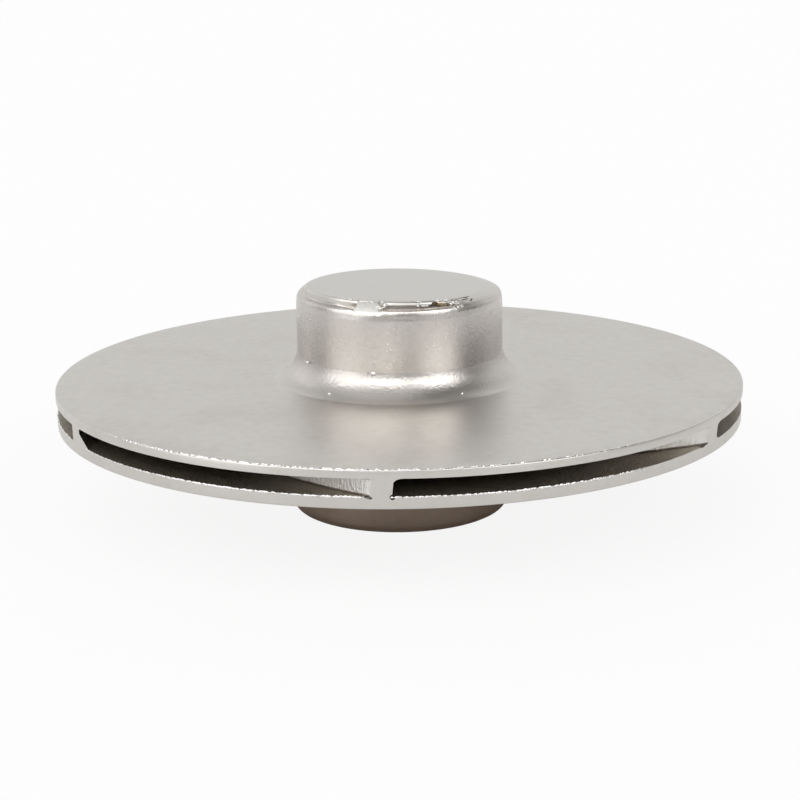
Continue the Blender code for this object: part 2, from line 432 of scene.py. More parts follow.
@dataclass(frozen=True)
class PassageSkin:
    """The skin inside the passages: like the outside near the rim, browner and darker further in. The
    darkening is mostly painted shade, for the shade the passages hold.

    Args:
        name: The material's name.
        outer: Base colour at the rim, darker and browner than the outside as painted shade.
        inner: Base colour deep inside, darker still as painted shade.
        face: Lighter colour painted on the vanes' upright faces near the rim, a painted highlight where light
            falls on them.
        dark_and_shade: Colour of the dark line along the vanes' feet, and painted shade in the chips.
        roughness: Middle roughness.
    """

    name: str = "passage_skin_painted_light"
    outer: Colour = (0.45, 0.41, 0.345)
    inner: Colour = (0.20, 0.17, 0.125)
    face: Colour = (0.74, 0.72, 0.69)
    dark_and_shade: Colour = (0.05, 0.026, 0.013)
    roughness: float = 0.42

    # Radii in millimetres: where the painted shade deepens inwards, and where the vanes' upright faces are
    # painted lighter
    SHADE_DEPTH_BAND = (101.0, 84.0)
    FACE_BAND = (72.0, 90.0)
    SHADE_DEPTH_SHARE = 0.85
    CLOUD_SHARE = 0.2
    PEBBLE_SHARE = 0.6
    STREAK_SHARE = 1.7
    BUMP = 0.2
    # How much less metallic the dark at the vanes' feet and the chips' painted shade are, and how much
    # rougher they and the inside are
    DARK_MATTE = 0.8
    DARK_ROUGH = 0.2
    DEPTH_ROUGH = 0.12

    def material(self) -> bpy.types.Material:
        """Makes the material."""
        bench = Bench.for_finish(self.name)
        radius = bench.radius()
        # Painted shade: darker and browner further into the passages
        shade_depth = radius.rise(*self.SHADE_DEPTH_BAND)
        cloud = bench.patches(size=6.0, low=0.35, high=0.75)
        deep = (shade_depth * self.SHADE_DEPTH_SHARE + cloud * self.CLOUD_SHARE).at_most(1.0)
        # Painted highlight: upright faces near the rim, the vanes' lit faces, are painted lighter
        wall = bench.attribute("wall") * radius.rise(*self.FACE_BAND)
        # Darker along the vanes' feet, and painted shade in the chips
        dark_and_shade = bench.attribute("foot_dark_and_chip_shade")
        tone = bench.mix(deep, self.outer, self.inner)
        tone = bench.mix(wall.at_most(1.0), tone, self.face)
        tone = bench.mix(dark_and_shade, tone, self.dark_and_shade)
        roughness = self.roughness + shade_depth * self.DEPTH_ROUGH + dark_and_shade * self.DARK_ROUGH
        bench.paint(tone, 1.0 - dark_and_shade * self.DARK_MATTE, roughness)
        pebble = bench.noise(0.6, roughness=0.6)
        streaks = bench.noise(0.5, roughness=0.55, stretch=5.0)
        bench.bump(pebble * self.PEBBLE_SHARE + streaks * self.STREAK_SHARE, self.BUMP)
        return bench.owner


@dataclass(frozen=True)
class BareMetal:
    """Bright metal of a torn or ground edge.

    Args:
        name: The material's name.
        colour: Base colour.
        dulled: How bright its duller patches are against that.
        roughness: Roughness outside them.
    """

    name: str = "bare_metal"
    colour: Colour = (0.90, 0.89, 0.87)
    dulled: float = 0.78
    roughness: float = 0.22

    def material(self) -> bpy.types.Material:
        """Makes the material."""
        bench = Bench.for_finish(self.name)
        cloud = bench.patches(size=1.2, low=0.4, high=0.7, detail=2.0)
        tone = bench.mix(cloud, self.colour, tuple(self.dulled * part for part in self.colour))
        bench.paint(tone, 1.0, self.roughness + cloud * 0.15)
        bench.bump(bench.noise(0.3), 0.05)
        return bench.owner


@dataclass(frozen=True)
class ShadeAndRustSkin:
    """A dark matte finish. With its own colours it is painted shade, on lumps that stand for a hole at the
    gate and for the shadow lines under two laps; given rust colours, it is a rust stain.

    Args:
        name: The material's name.
        light: Its lighter colour.
        dark: Its darker colour.
        roughness: Its roughness.
    """

    name: str = "painted_shade_lumps"
    light: Colour = (0.10, 0.06, 0.025)
    dark: Colour = (0.015, 0.01, 0.008)
    roughness: float = 0.6

    def material(self) -> bpy.types.Material:
        """Makes the material."""
        bench = Bench.for_finish(self.name)
        cloud = bench.patches(size=0.5, low=0.35, high=0.7, detail=2.0)
        bench.paint(bench.mix(cloud, self.light, self.dark), 0.0, self.roughness)
        bench.bump(bench.noise(0.3), 0.08)
        return bench.owner


@dataclass(frozen=True)
class StudioFloor:
    """Plain pale paper, burnt out to white as in the photograph, with a trace of shadow left.

    Args:
        name: The material's name.
        colour: Base colour.
        burnt: How much of what the camera sees of it is plain white.
    """

    name: str = "studio_floor"
    colour: Colour = (0.93, 0.93, 0.93)
    burnt: float = 0.88

    def material(self) -> bpy.types.Material:
        """Makes the material."""
        bench = Bench.for_finish(self.name)
        bench.shader.inputs["Base Color"].default_value = opaque(self.colour)
        bench.shader.inputs["Roughness"].default_value = 0.95
        bench.shader.inputs["Specular IOR Level"].default_value = 0.0
        white = bench.node("ShaderNodeEmission", {}, {"Strength": 1.0})
        both = bench.node(
            "ShaderNodeMixShader",
            {},
            {0: bench.seen() * self.burnt, 1: bench.shader.outputs[0], 2: white.outputs[0]},
        )
        bench.feed(bench.tree.nodes["Material Output"].inputs["Surface"], both.outputs[0])
        return bench.owner


def arc(centre: Point2, radius: float, start_deg: float, end_deg: float, pieces: int) -> list[Point2]:
    """Points along an arc.

    Args:
        centre: Its centre (r, z).
        radius: Its radius.
        start_deg: First angle from the outward direction, in degrees.
        end_deg: Last angle.
        pieces: How many chords it has.

    Returns:
        The points, both ends included.
    """
    points = []
    for i in range(pieces + 1):
        angle = math.radians(start_deg + (end_deg - start_deg) * i / pieces)
        points.append((centre[0] + radius * math.cos(angle), centre[1] + radius * math.sin(angle)))
    return points


def resampled(points: Sequence[Point2], count: int) -> list[Point2]:
    """Spaces points evenly along a polyline.

    Args:
        points: The polyline.
        count: How many points to return.

    Returns:
        The points, both ends included.
    """
    lengths = [0.0]
    for first, second in zip(points, points[1:]):
        lengths.append(lengths[-1] + math.dist(first, second))
    spaced = []
    piece = 0
    for i in range(count):
        want = lengths[-1] * i / (count - 1)
        while piece < len(points) - 2 and lengths[piece + 1] < want:
            piece += 1
        share = (want - lengths[piece]) / (lengths[piece + 1] - lengths[piece])
        first, second = points[piece], points[piece + 1]
        spaced.append((first[0] + (second[0] - first[0]) * share, first[1] + (second[1] - first[1]) * share))
    return spaced


def smooth_step(value: float, low: float, high: float) -> float:
    """0 at low, 1 at high and smooth between."""
    share = min(1.0, max(0.0, (value - low) / (high - low)))
    return share * share * (3.0 - 2.0 * share)


def faded(value: float, base: float, band: Point2) -> float:
    """A smooth step over a band whose two ends are counted from a base."""
    return smooth_step(value, base + band[0], base + band[1])


def spin_profile(profile: Sequence[Point2], steps: int, closed: bool) -> bmesh.types.BMesh:
    """Turns a profile of (r, z) points about the shaft axis.

    Args:
        profile: The points, in metres.
        steps: How many steps a full turn has.
        closed: Whether the last point joins the first. An open profile ends on the axis.

    Returns:
        A closed mesh with its faces outwards.
    """
    work = bmesh.new()
    verts = [work.verts.new((r, 0.0, z)) for r, z in profile]
    edges = [work.edges.new(pair) for pair in zip(verts, verts[1:])]
    if closed:
        edges.append(work.edges.new((verts[-1], verts[0])))
    bmesh.ops.spin(
        work,
        geom=verts + edges,
        cent=(0.0, 0.0, 0.0),
        axis=(0.0, 0.0, 1.0),
        dvec=(0.0, 0.0, 0.0),
        angle=math.tau,
        steps=steps,
        use_merge=True,
    )
    bmesh.ops.remove_doubles(work, verts=work.verts, dist=MERGE_DISTANCE)
    bmesh.ops.recalc_face_normals(work, faces=work.faces)
    return work


def make_object(work: bmesh.types.BMesh, name: str) -> bpy.types.Object:
    """Turns a bmesh into an object at the origin and frees it."""
    mesh = bpy.data.meshes.new(name)
    work.to_mesh(mesh)
    work.free()
    made = bpy.data.objects.new(name, mesh)
    bpy.context.scene.collection.objects.link(made)
    return made


def dress(
    piece: bpy.types.Object,
    materials: Sequence[bpy.types.Material],
    replaced: Sequence[str] = (),
    sharp_deg: float = 35.0,
) -> None:
    """Gives a piece its finish, its shading and its place in the frame.

    Args:
        piece: The object.
        materials: Its materials, by index.
        replaced: The CAD nodes that it stands for.
        sharp_deg: Edges that turn more than this stay sharp.
    """
    for material in materials:
        piece.data.materials.append(material)
    piece.data.shade_smooth()
    piece.data.set_sharp_from_angle(angle=math.radians(sharp_deg))
    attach(piece, BODY)
    if replaced:
        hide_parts(*replaced)
    LOG.info("%s: %d faces", piece.name, len(piece.data.polygons))


@dataclass(frozen=True)
class WheelSizes:
    """Sizes of the wheel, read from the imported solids.

    Args:
        disc_radius: Radius of the back shroud.
        disc_top: Height of the disc's flat back.
        roof: Height of the back shroud's inner face.
        front_radius: Radius of the front shroud.
        lip_top: Height of the front shroud's inner face at the rim.
        ring_radius: Radius of the suction ring.
        ring_top: Height where the ring meets the front shroud.
        nose_tip: Height of the nose's tip.
        nose_root: Radius of the nose at its root.
    """

    disc_radius: float
    disc_top: float
    roof: float
    front_radius: float
    lip_top: float
    ring_radius: float
    ring_top: float
    nose_tip: float
    nose_root: float

    BACK_THICKNESS = 2.4 * MM

    @classmethod
    def from_frame(cls) -> "WheelSizes":
        """Reads the sizes from the nodes' boxes."""
        back_low, back_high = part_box("back_shroud")
        front_low, front_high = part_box("front_shroud")
        ring_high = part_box("suction_ring")[1]
        nose_low, nose_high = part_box("hub_nose")
        return cls(
            disc_radius=back_high[0],
            disc_top=back_low[2] + cls.BACK_THICKNESS,
            roof=back_low[2],
            front_radius=front_high[0],
            lip_top=front_high[2],
            ring_radius=ring_high[0],
            ring_top=front_low[2],
            nose_tip=nose_low[2],
            nose_root=nose_high[0],
        )


@dataclass
class VaneForm:
    """The curve of the vanes in plan.

    Args:
        thickness: Thickness at the rim.
        nose_thickness: Thickness at the inner end.
        outer_radius: Where the angles and the plan position are given.
        inner_radius: Radius of the inner end.
        outer_angle: Angle from the tangent at the rim.
        inner_angle: Angle from the tangent at the inner end.
        first_at: Plan angle of the first vane's outer end.
        drift_deg: How far each vane stands off its even place, in degrees.
        steps: How many steps the curve is worked out in.
        sweeps: Plan angle after each step, from the outer end's.
    """

    thickness: float = 3.0 * MM
    nose_thickness: float = 2.2 * MM
    outer_radius: float = 104.1 * MM
    inner_radius: float = 34.0 * MM
    outer_angle: float = math.radians(31.0)
    inner_angle: float = math.radians(23.0)
    first_at: float = math.radians(-93.0)
    drift_deg: tuple[float, ...] = (-0.35, 0.27, 0.1, -0.15, 0.1, -0.05)
    steps: int = 1400
    sweeps: list[float] = field(default_factory=list)

    NOSE_OVERLAP = 0.4 * MM
    # How far past the rim the angle still grows, as a share of the vane's radial length
    LEAN_LIMIT = 1.1

    def __post_init__(self) -> None:
        """Works out how far the vane has turned at each radius."""
        step = (self.outer_radius - self.inner_radius) / self.steps
        radius = self.outer_radius
        turned = 0.0
        self.sweeps = [turned]
        for _ in range(self.steps):
            middle = radius - step / 2
            turned -= step / (middle * math.tan(self.lean(middle)))
            radius -= step
            self.sweeps.append(turned)

    def start(self, index: int) -> float:
        """Plan angle of a vane's outer end."""
        turns, vane = divmod(index, VANES)
        return self.first_at + math.tau * (turns + vane / VANES) + math.radians(self.drift_deg[vane])

    def off_nearest(self, plan: float) -> float:
        """Plan angle from the nearest vane's start, once the vane's sweep has been taken off."""
        offs = [(plan - self.start(index) + math.pi) % math.tau - math.pi for index in range(VANES)]
        return min(offs, key=abs)

    def lean(self, radius: float) -> float:
        """The vane's angle from the tangent at a radius."""
        share = (radius - self.inner_radius) / (self.outer_radius - self.inner_radius)
        share = min(self.LEAN_LIMIT, max(0.0, share))
        return self.inner_angle + (self.outer_angle - self.inner_angle) * share

    def sweep(self, radius: float) -> float:
        """Plan angle of the centreline at a radius, from the outer end's."""
        place = (self.outer_radius - radius) / (self.outer_radius - self.inner_radius) * self.steps
        if place <= 0.0:
            return -(self.outer_radius - radius) / (radius * math.tan(self.lean(radius)))
        if place >= self.steps:
            beyond = self.inner_radius - radius
            return self.sweeps[-1] - beyond / (radius * math.tan(self.inner_angle))
        index = min(int(place), self.steps - 1)
        share = place - index
        return self.sweeps[index] * (1.0 - share) + self.sweeps[index + 1] * share

    def half_width(self, radius: float) -> float:
        """Half the vane's width at a radius, as a plan angle, with a rounded inner end."""
        share = min(1.0, max(0.0, (self.outer_radius - radius) / (self.outer_radius - self.inner_radius)))
        full = self.thickness + (self.nose_thickness - self.thickness) * share
        lean = self.lean(radius)
        along = (radius - self.inner_radius) / math.sin(lean)
        if along <= 0.0:
            width = -self.NOSE_OVERLAP
        elif along < full / 2:
            width = full * math.sqrt(1.0 - (1.0 - 2 * along / full) ** 2)
        else:
            width = full
        return width / 2 / (radius * math.sin(lean))


@dataclass(frozen=True)
class CornerRounds:
    """Radii of one passage's four long corners.

    Args:
        convex_roof: Between the roof and the vane face that the rotation leads with.
        convex_floor: The same at the floor.
        concave_roof: Between the roof and the other vane face.
        concave_floor: The same at the floor.
        flat_floor: Whether that last corner is a flat chamfer.
    """

    convex_roof: float = 0.6 * MM
    convex_floor: float = 0.5 * MM
    concave_roof: float = 1.3 * MM
    concave_floor: float = 0.6 * MM
    flat_floor: bool = False


@dataclass(frozen=True)
class Chip:
    """A hollow at a vane's foot, where the mould broke away.

    Args:
        plan_deg: Plan angle of its middle.
        drop: How far its middle lies under the front shroud's inner face, in millimetres.
        radii: Its half sizes along the rim, outwards and up, in millimetres.
        tip: Its rotation about the outward direction.
    """

    plan_deg: float
    drop: float
    radii: tuple[float, float, float]
    tip: float

    def middle(self, sizes: WheelSizes) -> Vector:
        """Its middle, on the front shroud's edge."""
        plan = math.radians(self.plan_deg)
        rim = sizes.front_radius
        return Vector((rim * math.cos(plan), rim * math.sin(plan), sizes.lip_top - self.drop * MM))

    def hollow(self, sizes: WheelSizes, name: str) -> bpy.types.Object:
        """The hollow as a solid, for cutting."""
        work = bmesh.new()
        bmesh.ops.create_icosphere(work, subdivisions=3, radius=1.0)
        bmesh.ops.scale(work, verts=work.verts, vec=tuple(part * MM for part in self.radii))
        for angle, axis in ((self.tip, "Y"), (math.radians(self.plan_deg) + math.pi / 2, "Z")):
            turn = Matrix.Rotation(angle, 3, axis)
            bmesh.ops.rotate(work, verts=work.verts, cent=(0, 0, 0), matrix=turn)
        bmesh.ops.translate(work, verts=work.verts, vec=self.middle(sizes))
        return make_object(work, name)


@dataclass
class Wheel:
    """Both shrouds, the vanes, the suction ring and the hub's nose, fused as cast.

    Args:
        sizes: Sizes from the frame.
        vanes: The vanes' curve.
        shroud_thickness: Thickness of the front shroud.
        passage_gain: How far the front shroud's inner face would fall by the axis.
        throat_radius: Radius where that face turns down into the eye.
        eye_radius: Radius of the eye.
        cavity_radius: Radius of the hollow round the nose, inside the vanes' inner ends.
        edge: Rounding of the rim's edges.
        ring_edge: Rounding of the ring's inner edge.
        foot_round: Rounding of the ring's outer edge.
        neck_round: Fillet between the ring and the front shroud.
        nose_tip_radius: Radius of the nose's end.
        nose_round: Rounding of that end.
        steps: How many steps a full turn has.
    """

    sizes: WheelSizes = field(default_factory=WheelSizes.from_frame)
    vanes: VaneForm = field(default_factory=VaneForm)
    shroud_thickness: float = 3.5 * MM
    passage_gain: float = 17.0 * MM
    throat_radius: float = 40.0 * MM
    eye_radius: float = 26.4 * MM
    cavity_radius: float = 33.6 * MM
    edge: float = 0.4 * MM
    ring_edge: float = 0.6 * MM
    foot_round: float = 2.4 * MM
    neck_round: float = 7.5 * MM
    nose_tip_radius: float = 15.5 * MM
    nose_round: float = 3.0 * MM
    steps: int = 300

    REPLACED = ("back_shroud", "front_shroud", "suction_ring", "hub_nose")
    CHIPS = (
        Chip(-91.15, 0.15, (0.78, 0.8, 0.74), 0.2),
        Chip(-94.65, 0.18, (1.15, 0.9, 0.44), 0.25),
        Chip(-35.6, -0.02, (1.4, 0.9, 0.34), 0.1),
    )
    CORNERS = (
        CornerRounds(),
        CornerRounds(concave_floor=0.8 * MM, flat_floor=True),
        CornerRounds(concave_roof=0.9 * MM, concave_floor=1.4 * MM),
        CornerRounds(),
        CornerRounds(concave_roof=1.0 * MM),
        CornerRounds(concave_roof=0.5 * MM, concave_floor=3.4 * MM, flat_floor=True),
    )

    # Keeps the turned body's faces clear of the cutters' faces
    CUT_GAP = 0.1 * MM
    # Rows of points: shares of the disc's radius, of the ring's height and of a passage's width
    DISC_ROWS = (0.0, 0.25, 0.42, 0.6, 0.8, 0.95)
    EYE_ROWS = (0.35, 0.7, 1.0)
    PASSAGE_ROWS = (0.0, 0.25, 0.35, 0.45, 0.55, 0.65, 0.75, 1.0)
    PASSAGE_LENGTHS = 84
    # How evenly those lengths are spaced. The rest crowds them towards the vanes' inner ends
    EVEN_ROWS = 0.3
    # Rows under the front shroud, and on the ring, in millimetres
    UNDERSIDE_ROWS = range(96, 42, -6)
    RING_ROWS = (8, 4)
    RIM_STRIP = 3 * MM
    NECK_START = 4 * MM
    NECK_DROP = 0.6 * MM
    NOSE_FILLET = 4 * MM
    # How far a passage's cutter runs past the vanes' inner ends and past the rim
    OVERRUN_INSIDE = 1.0 * MM
    OVERRUN_OUTSIDE = 3.0 * MM
    MARK_SLACK = 0.25 * MM
    # A chip's wall lies at least this far behind the rim and no more than this over the lip
    CHIP_RIM = 0.06 * MM
    CHIP_LIP = 0.05 * MM
    # How far past a chip's largest half size its wall is looked for, in millimetres
    CHIP_WALL = 0.1
    # Where the brown at the vanes' feet lies: along the radius, off the vane's face and over the floor
    FOOT_DARK_RADII = (82 * MM, 92 * MM)
    FOOT_DARK_BEHIND = -0.6 * MM
    FOOT_DARK_GAPS = (0.5 * MM, 1.0 * MM)
    FOOT_DARK_HEIGHTS = (0.35 * MM, 0.8 * MM)
    FOOT_DARK_GRAIN = 1.5 * MM
    FOOT_DARK_RAGGED = 0.2
    # How dark the chips' walls are painted: painted shade in the hollows
    CHIP_SHADE = 0.9

    def in_chip(self, place: Vector) -> bool:
        """Whether a point lies on the wall of a chip, behind the lip's face."""
        outer = self.sizes.front_radius - self.CHIP_RIM
        if math.hypot(place.x, place.y) > outer or place.z > self.sizes.lip_top + self.CHIP_LIP:
            return False
        walls = ((chip.middle(self.sizes), (max(chip.radii) + self.CHIP_WALL) * MM) for chip in self.CHIPS)
        return any((place - middle).length < reach for middle, reach in walls)

    def floor_height(self, radius: float) -> float:
        """Height of the front shroud's inner face at a radius."""
        sizes = self.sizes
        if radius >= self.throat_radius:
            inward = max(0.0, (sizes.front_radius - radius) / sizes.front_radius)
            return sizes.lip_top - self.passage_gain * inward * inward
        top = self.floor_height(self.throat_radius)
        reach = min(1.0, (self.throat_radius - radius) / (self.throat_radius - self.eye_radius))
        return sizes.ring_top + (top - sizes.ring_top) * math.sqrt(max(0.0, 1.0 - reach * reach))

    def outside(self) -> list[Point2]:
        """The outer side from the disc's middle over the rim to the ring's foot."""
        sizes = self.sizes
        disc = [(sizes.disc_radius * share, sizes.disc_top) for share in self.DISC_ROWS]
        top_edge = arc((sizes.disc_radius - self.edge, sizes.disc_top - self.edge), self.edge, 90, 0, 3)
        underside_edge = sizes.lip_top - self.shroud_thickness
        lip = [
            (sizes.disc_radius, sizes.roof + self.CUT_GAP),
            (sizes.front_radius, sizes.lip_top - self.CUT_GAP),
            *arc((sizes.front_radius - self.edge, underside_edge + self.edge), self.edge, 0, -90, 3),
        ]
        neck_top = self.floor_height(self.throat_radius + self.NECK_START) - self.shroud_thickness
        radii = [sizes.front_radius - self.RIM_STRIP, *[row * MM for row in self.UNDERSIDE_ROWS]]
        underside = [(r, self.floor_height(r) - self.shroud_thickness) for r in radii]
        centre = (sizes.ring_radius + self.neck_round, neck_top - self.neck_round - self.NECK_DROP)
        neck = arc(centre, self.neck_round, 90, 180, 8)
        foot = arc((sizes.ring_radius - self.foot_round, self.foot_round), self.foot_round, 0, -90, 8)
        ring = [(sizes.ring_radius, row * MM) for row in self.RING_ROWS]
        return [*disc, *top_edge, *lip, *underside, *neck, *ring, *foot]

    def inside(self) -> list[Point2]:
        """The inner side from the ring's foot through the eye to the nose's tip."""
        sizes = self.sizes
        foot = arc((self.eye_radius + self.ring_edge, self.ring_edge), self.ring_edge, -90, -180, 3)
        bore = [(self.eye_radius, sizes.ring_top * share) for share in self.EYE_ROWS]
        pieces = 8
        step = (self.cavity_radius - self.eye_radius) / pieces
        radii = [self.eye_radius + step * (number + 1) for number in range(pieces)]
        throat = [(radius, self.floor_height(radius) - self.CUT_GAP) for radius in radii]
        roof = sizes.roof + self.CUT_GAP
        root = [(self.cavity_radius, roof), (sizes.nose_root, roof)]
        fillet = self.NOSE_FILLET
        blend = arc((sizes.nose_root, roof - fillet), fillet, 90, 180, 5)[1:]
        tip_centre = (self.nose_tip_radius - self.nose_round, sizes.nose_tip + self.nose_round)
        tip = arc(tip_centre, self.nose_round, 0, -90, 5)
        return [*foot, *bore, *throat, *root, *blend, *tip, (0.0, sizes.nose_tip)]

    def passage(self, index: int, rounds: CornerRounds) -> bpy.types.Object:
        """One passage as a solid, bounded by two vanes, the roof and the floor.

        Args:
            index: The vane that it follows.
            rounds: Its corners' radii.

        Returns:
            The solid, for cutting.
        """
        across = len(self.PASSAGE_ROWS) - 1
        half_grid = 0.5
        tiny = 1e-6
        work = bmesh.new()
        bmesh.ops.create_grid(work, x_segments=self.PASSAGE_LENGTHS, y_segments=across, size=half_grid)
        lifted = bmesh.ops.extrude_face_region(work, geom=work.faces[:])["geom"]
        lifted = [part for part in lifted if isinstance(part, bmesh.types.BMVert)]
        bmesh.ops.translate(work, verts=lifted, vec=(0, 0, 1))
        chains: dict[tuple[bool, bool], list[bmesh.types.BMEdge]] = {}
        for edge in work.edges:
            here, there = (vert.co for vert in edge.verts)
            lengthwise = abs(here.y - there.y) < tiny and abs(here.z - there.z) < tiny
            if lengthwise and abs(abs(here.y) - half_grid) < tiny:
                chains.setdefault((here.y > 0, here.z > 0.5), []).append(edge)
        inner = self.vanes.inner_radius - self.OVERRUN_INSIDE
        outer = self.sizes.disc_radius + self.OVERRUN_OUTSIDE
        for vert in work.verts:
            share = vert.co.x + half_grid
            crowded = self.EVEN_ROWS * share + (1.0 - self.EVEN_ROWS) * share * share
            radius = inner + (outer - inner) * crowded
            half = self.vanes.half_width(radius)
            first = self.vanes.start(index) + self.vanes.sweep(radius) + half
            last = self.vanes.start(index + 1) + self.vanes.sweep(radius) - half
            plan = first + (last - first) * self.PASSAGE_ROWS[round((vert.co.y + half_grid) * across)]
            low = self.floor_height(radius)
            level = low + (self.sizes.roof - low) * vert.co.z
            vert.co = (radius * math.cos(plan), radius * math.sin(plan), level)
        flat_corner = (False, False)
        radii = {
            (False, True): rounds.concave_roof,
            flat_corner: rounds.concave_floor,
            (True, True): rounds.convex_roof,
            (True, False): rounds.convex_floor,
        }
        bmesh.ops.recalc_face_normals(work, faces=work.faces)
        for corner, edges in chains.items():
            bmesh.ops.bevel(
                work,
                geom=edges,
                offset=radii[corner],
                offset_type="OFFSET",
                segments=1 if rounds.flat_floor and corner == flat_corner else 4,
                profile=0.5,
                affect="EDGES",
                material=-1,
                clamp_overlap=not rounds.flat_floor,
            )
        bmesh.ops.recalc_face_normals(work, faces=work.faces)
        return make_object(work, f"passage_{index + 1}")

    def foot_dark_and_chip_shade(self, place: Vector) -> float:
        """How dark and brown a face's middle is: full along the foot of the vanes' convex faces near the rim,
        and nearly full in the chips as painted shade.
        """
        if self.in_chip(place):
            return self.CHIP_SHADE
        radius = math.hypot(place.x, place.y)
        above = place.z - self.floor_height(radius)
        if radius < self.FOOT_DARK_RADII[0] or above > self.FOOT_DARK_HEIGHTS[1]:
            return 0.0
        off = self.vanes.off_nearest(math.atan2(place.y, place.x) - self.vanes.sweep(radius))
        gap = -(off + self.vanes.half_width(radius)) * radius * math.sin(self.vanes.lean(radius))
        if gap < self.FOOT_DARK_BEHIND:
            return 0.0
        close = 1.0 - smooth_step(gap, *self.FOOT_DARK_GAPS)
        low = 1.0 - smooth_step(above, *self.FOOT_DARK_HEIGHTS)
        ragged = 1.0 - self.FOOT_DARK_RAGGED + self.FOOT_DARK_RAGGED * noise.noise(place / self.FOOT_DARK_GRAIN)
        return close * low * smooth_step(radius, *self.FOOT_DARK_RADII) * ragged

    def build(self) -> bpy.types.Object:
        """Turns the body, cuts the passages and chips into it and dresses it.

        Returns:
            The wheel.
        """
        body = make_object(spin_profile([*self.outside(), *self.inside()], self.steps, closed=False), "wheel")
        tools = bpy.data.collections.new("wheel_tools")
        cutters = [self.passage(index, rounds) for index, rounds in enumerate(self.CORNERS)]
        cutters.extend(chip.hollow(self.sizes, f"chip_{i + 1}") for i, chip in enumerate(self.CHIPS))
        for cutter in cutters:
            tools.objects.link(cutter)
        cut = body.modifiers.new("passages", "BOOLEAN")
        cut.operation = "DIFFERENCE"
        cut.solver = "EXACT"
        cut.operand_type = "COLLECTION"
        cut.collection = tools
        bpy.context.view_layer.update()
        graph = bpy.context.evaluated_depsgraph_get()
        mesh = bpy.data.meshes.new_from_object(body.evaluated_get(graph))
        body.modifiers.clear()
        body.data = mesh
        mesh.name = "wheel"
        for cutter in cutters:
            bpy.data.objects.remove(cutter)
        bpy.data.collections.remove(tools)
        self.mark(mesh)
        finishes = {
            WheelFinish.OUTSIDE: CastSkin("cast_skin"),
            WheelFinish.PASSAGE: PassageSkin(),
            # Painted shade: the underside and the suction ring get a darker, browner colour for the shade
            # they stand in under the disc
            WheelFinish.UNDERSIDE: CastSkin(
                "underside_painted_shade", colour=(0.37, 0.30, 0.25), shade=(0.30, 0.24, 0.19), roughness=0.45
            ),
        }
        replaced = [*self.REPLACED, *[f"vane_{i + 1}" for i in range(VANES)]]
        dress(body, [finishes[finish].material() for finish in WheelFinish], replaced)
        return body

    def finish_at(self, place: Vector) -> WheelFinish:
        """The finish of a face by where its middle lies."""
        sizes = self.sizes
        radius = math.hypot(place.x, place.y)
        under_roof = place.z < sizes.roof + self.MARK_SLACK
        over_floor = place.z > self.floor_height(radius) - self.MARK_SLACK
        in_passage = under_roof and over_floor and radius < sizes.front_radius - self.MARK_SLACK
        in_eye = under_roof and radius < self.eye_radius + self.MARK_SLACK
        if in_passage or in_eye or self.in_chip(place):
            return WheelFinish.PASSAGE
        if place.z < sizes.lip_top - self.shroud_thickness:
            return WheelFinish.UNDERSIDE
        return WheelFinish.OUTSIDE

    def mark(self, mesh: bpy.types.Mesh) -> None:
        """Gives each face its finish, how dark and brown it is at a vane's foot and, as painted shade, in a
        chip, and how upright it stands, for the passages' painted highlight.
        """
        # How dark each face is at the vanes' feet, and the chips' painted shade
        dark_and_shade = mesh.attributes.new("foot_dark_and_chip_shade", "FLOAT", "FACE")
        # How upright each face stands, which the passages' finish uses to paint a highlight on the vanes' lit
        # faces
        wall = mesh.attributes.new("wall", "FLOAT", "FACE")
        for brown, upright, face in zip(dark_and_shade.data, wall.data, mesh.polygons):
            brown.value = self.foot_dark_and_chip_shade(face.center)
            upright.value = 1.0 - abs(face.normal.z)
        for face in mesh.polygons:
            face.material_index = self.finish_at(face.center).value


@dataclass(frozen=True)
class HubSizes:
    """Sizes of the hub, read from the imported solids.

    Args:
        disc_top: Height of the disc's flat back.
        radius: Radius at the hub's foot.
        foot: Height of the crease over the flare.
        rim: Height of the hub's rim.
        stub_radius: Radius of the gate stub.
        stub_height: Height of the stub's middle over the disc.
        top: Highest point of the stub.
    """

    disc_top: float
    radius: float
    foot: float
    rim: float
    stub_radius: float
    stub_height: float
    top: float

    STUB_FALL_X = math.radians(-1.0)
    STUB_FALL_Y = math.radians(-0.5)
    # How much wider the stub is at its foot
    STUB_DRAFT = 0.3 * MM

    @classmethod
    def from_frame(cls) -> "HubSizes":
        """Reads the sizes from the nodes' boxes."""
        disc_top = WheelSizes.from_frame().disc_top
        hub_low, hub_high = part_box("hub")
        _, stub_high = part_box("gate_stub")
        tilt = math.hypot(math.tan(cls.STUB_FALL_X), math.tan(cls.STUB_FALL_Y))
        radius = stub_high[0] - cls.STUB_DRAFT
        return cls(
            disc_top=disc_top,
            radius=hub_high[0],
            foot=hub_low[2],
            rim=hub_high[2],
            stub_radius=radius,
            stub_height=stub_high[2] - tilt * radius - disc_top,
            top=stub_high[2],
        )

    def fall(self, x: float, y: float) -> float:
        """How far the stub's sloping top at a place lies over its middle."""
        return math.tan(self.STUB_FALL_X) * x + math.tan(self.STUB_FALL_Y) * y


@dataclass(frozen=True)
class HubTop:
    """One shape of the hub's top, in millimetres: radius and height over the disc.

    Args:
        rim: From the side up to the crest.
        floor: From the crest to the foot of the stub's wall.
        wall: From there up to the stub's flat top.
    """

    rim: tuple[Point2, ...]
    floor: tuple[Point2, ...]
    wall: tuple[Point2, ...]


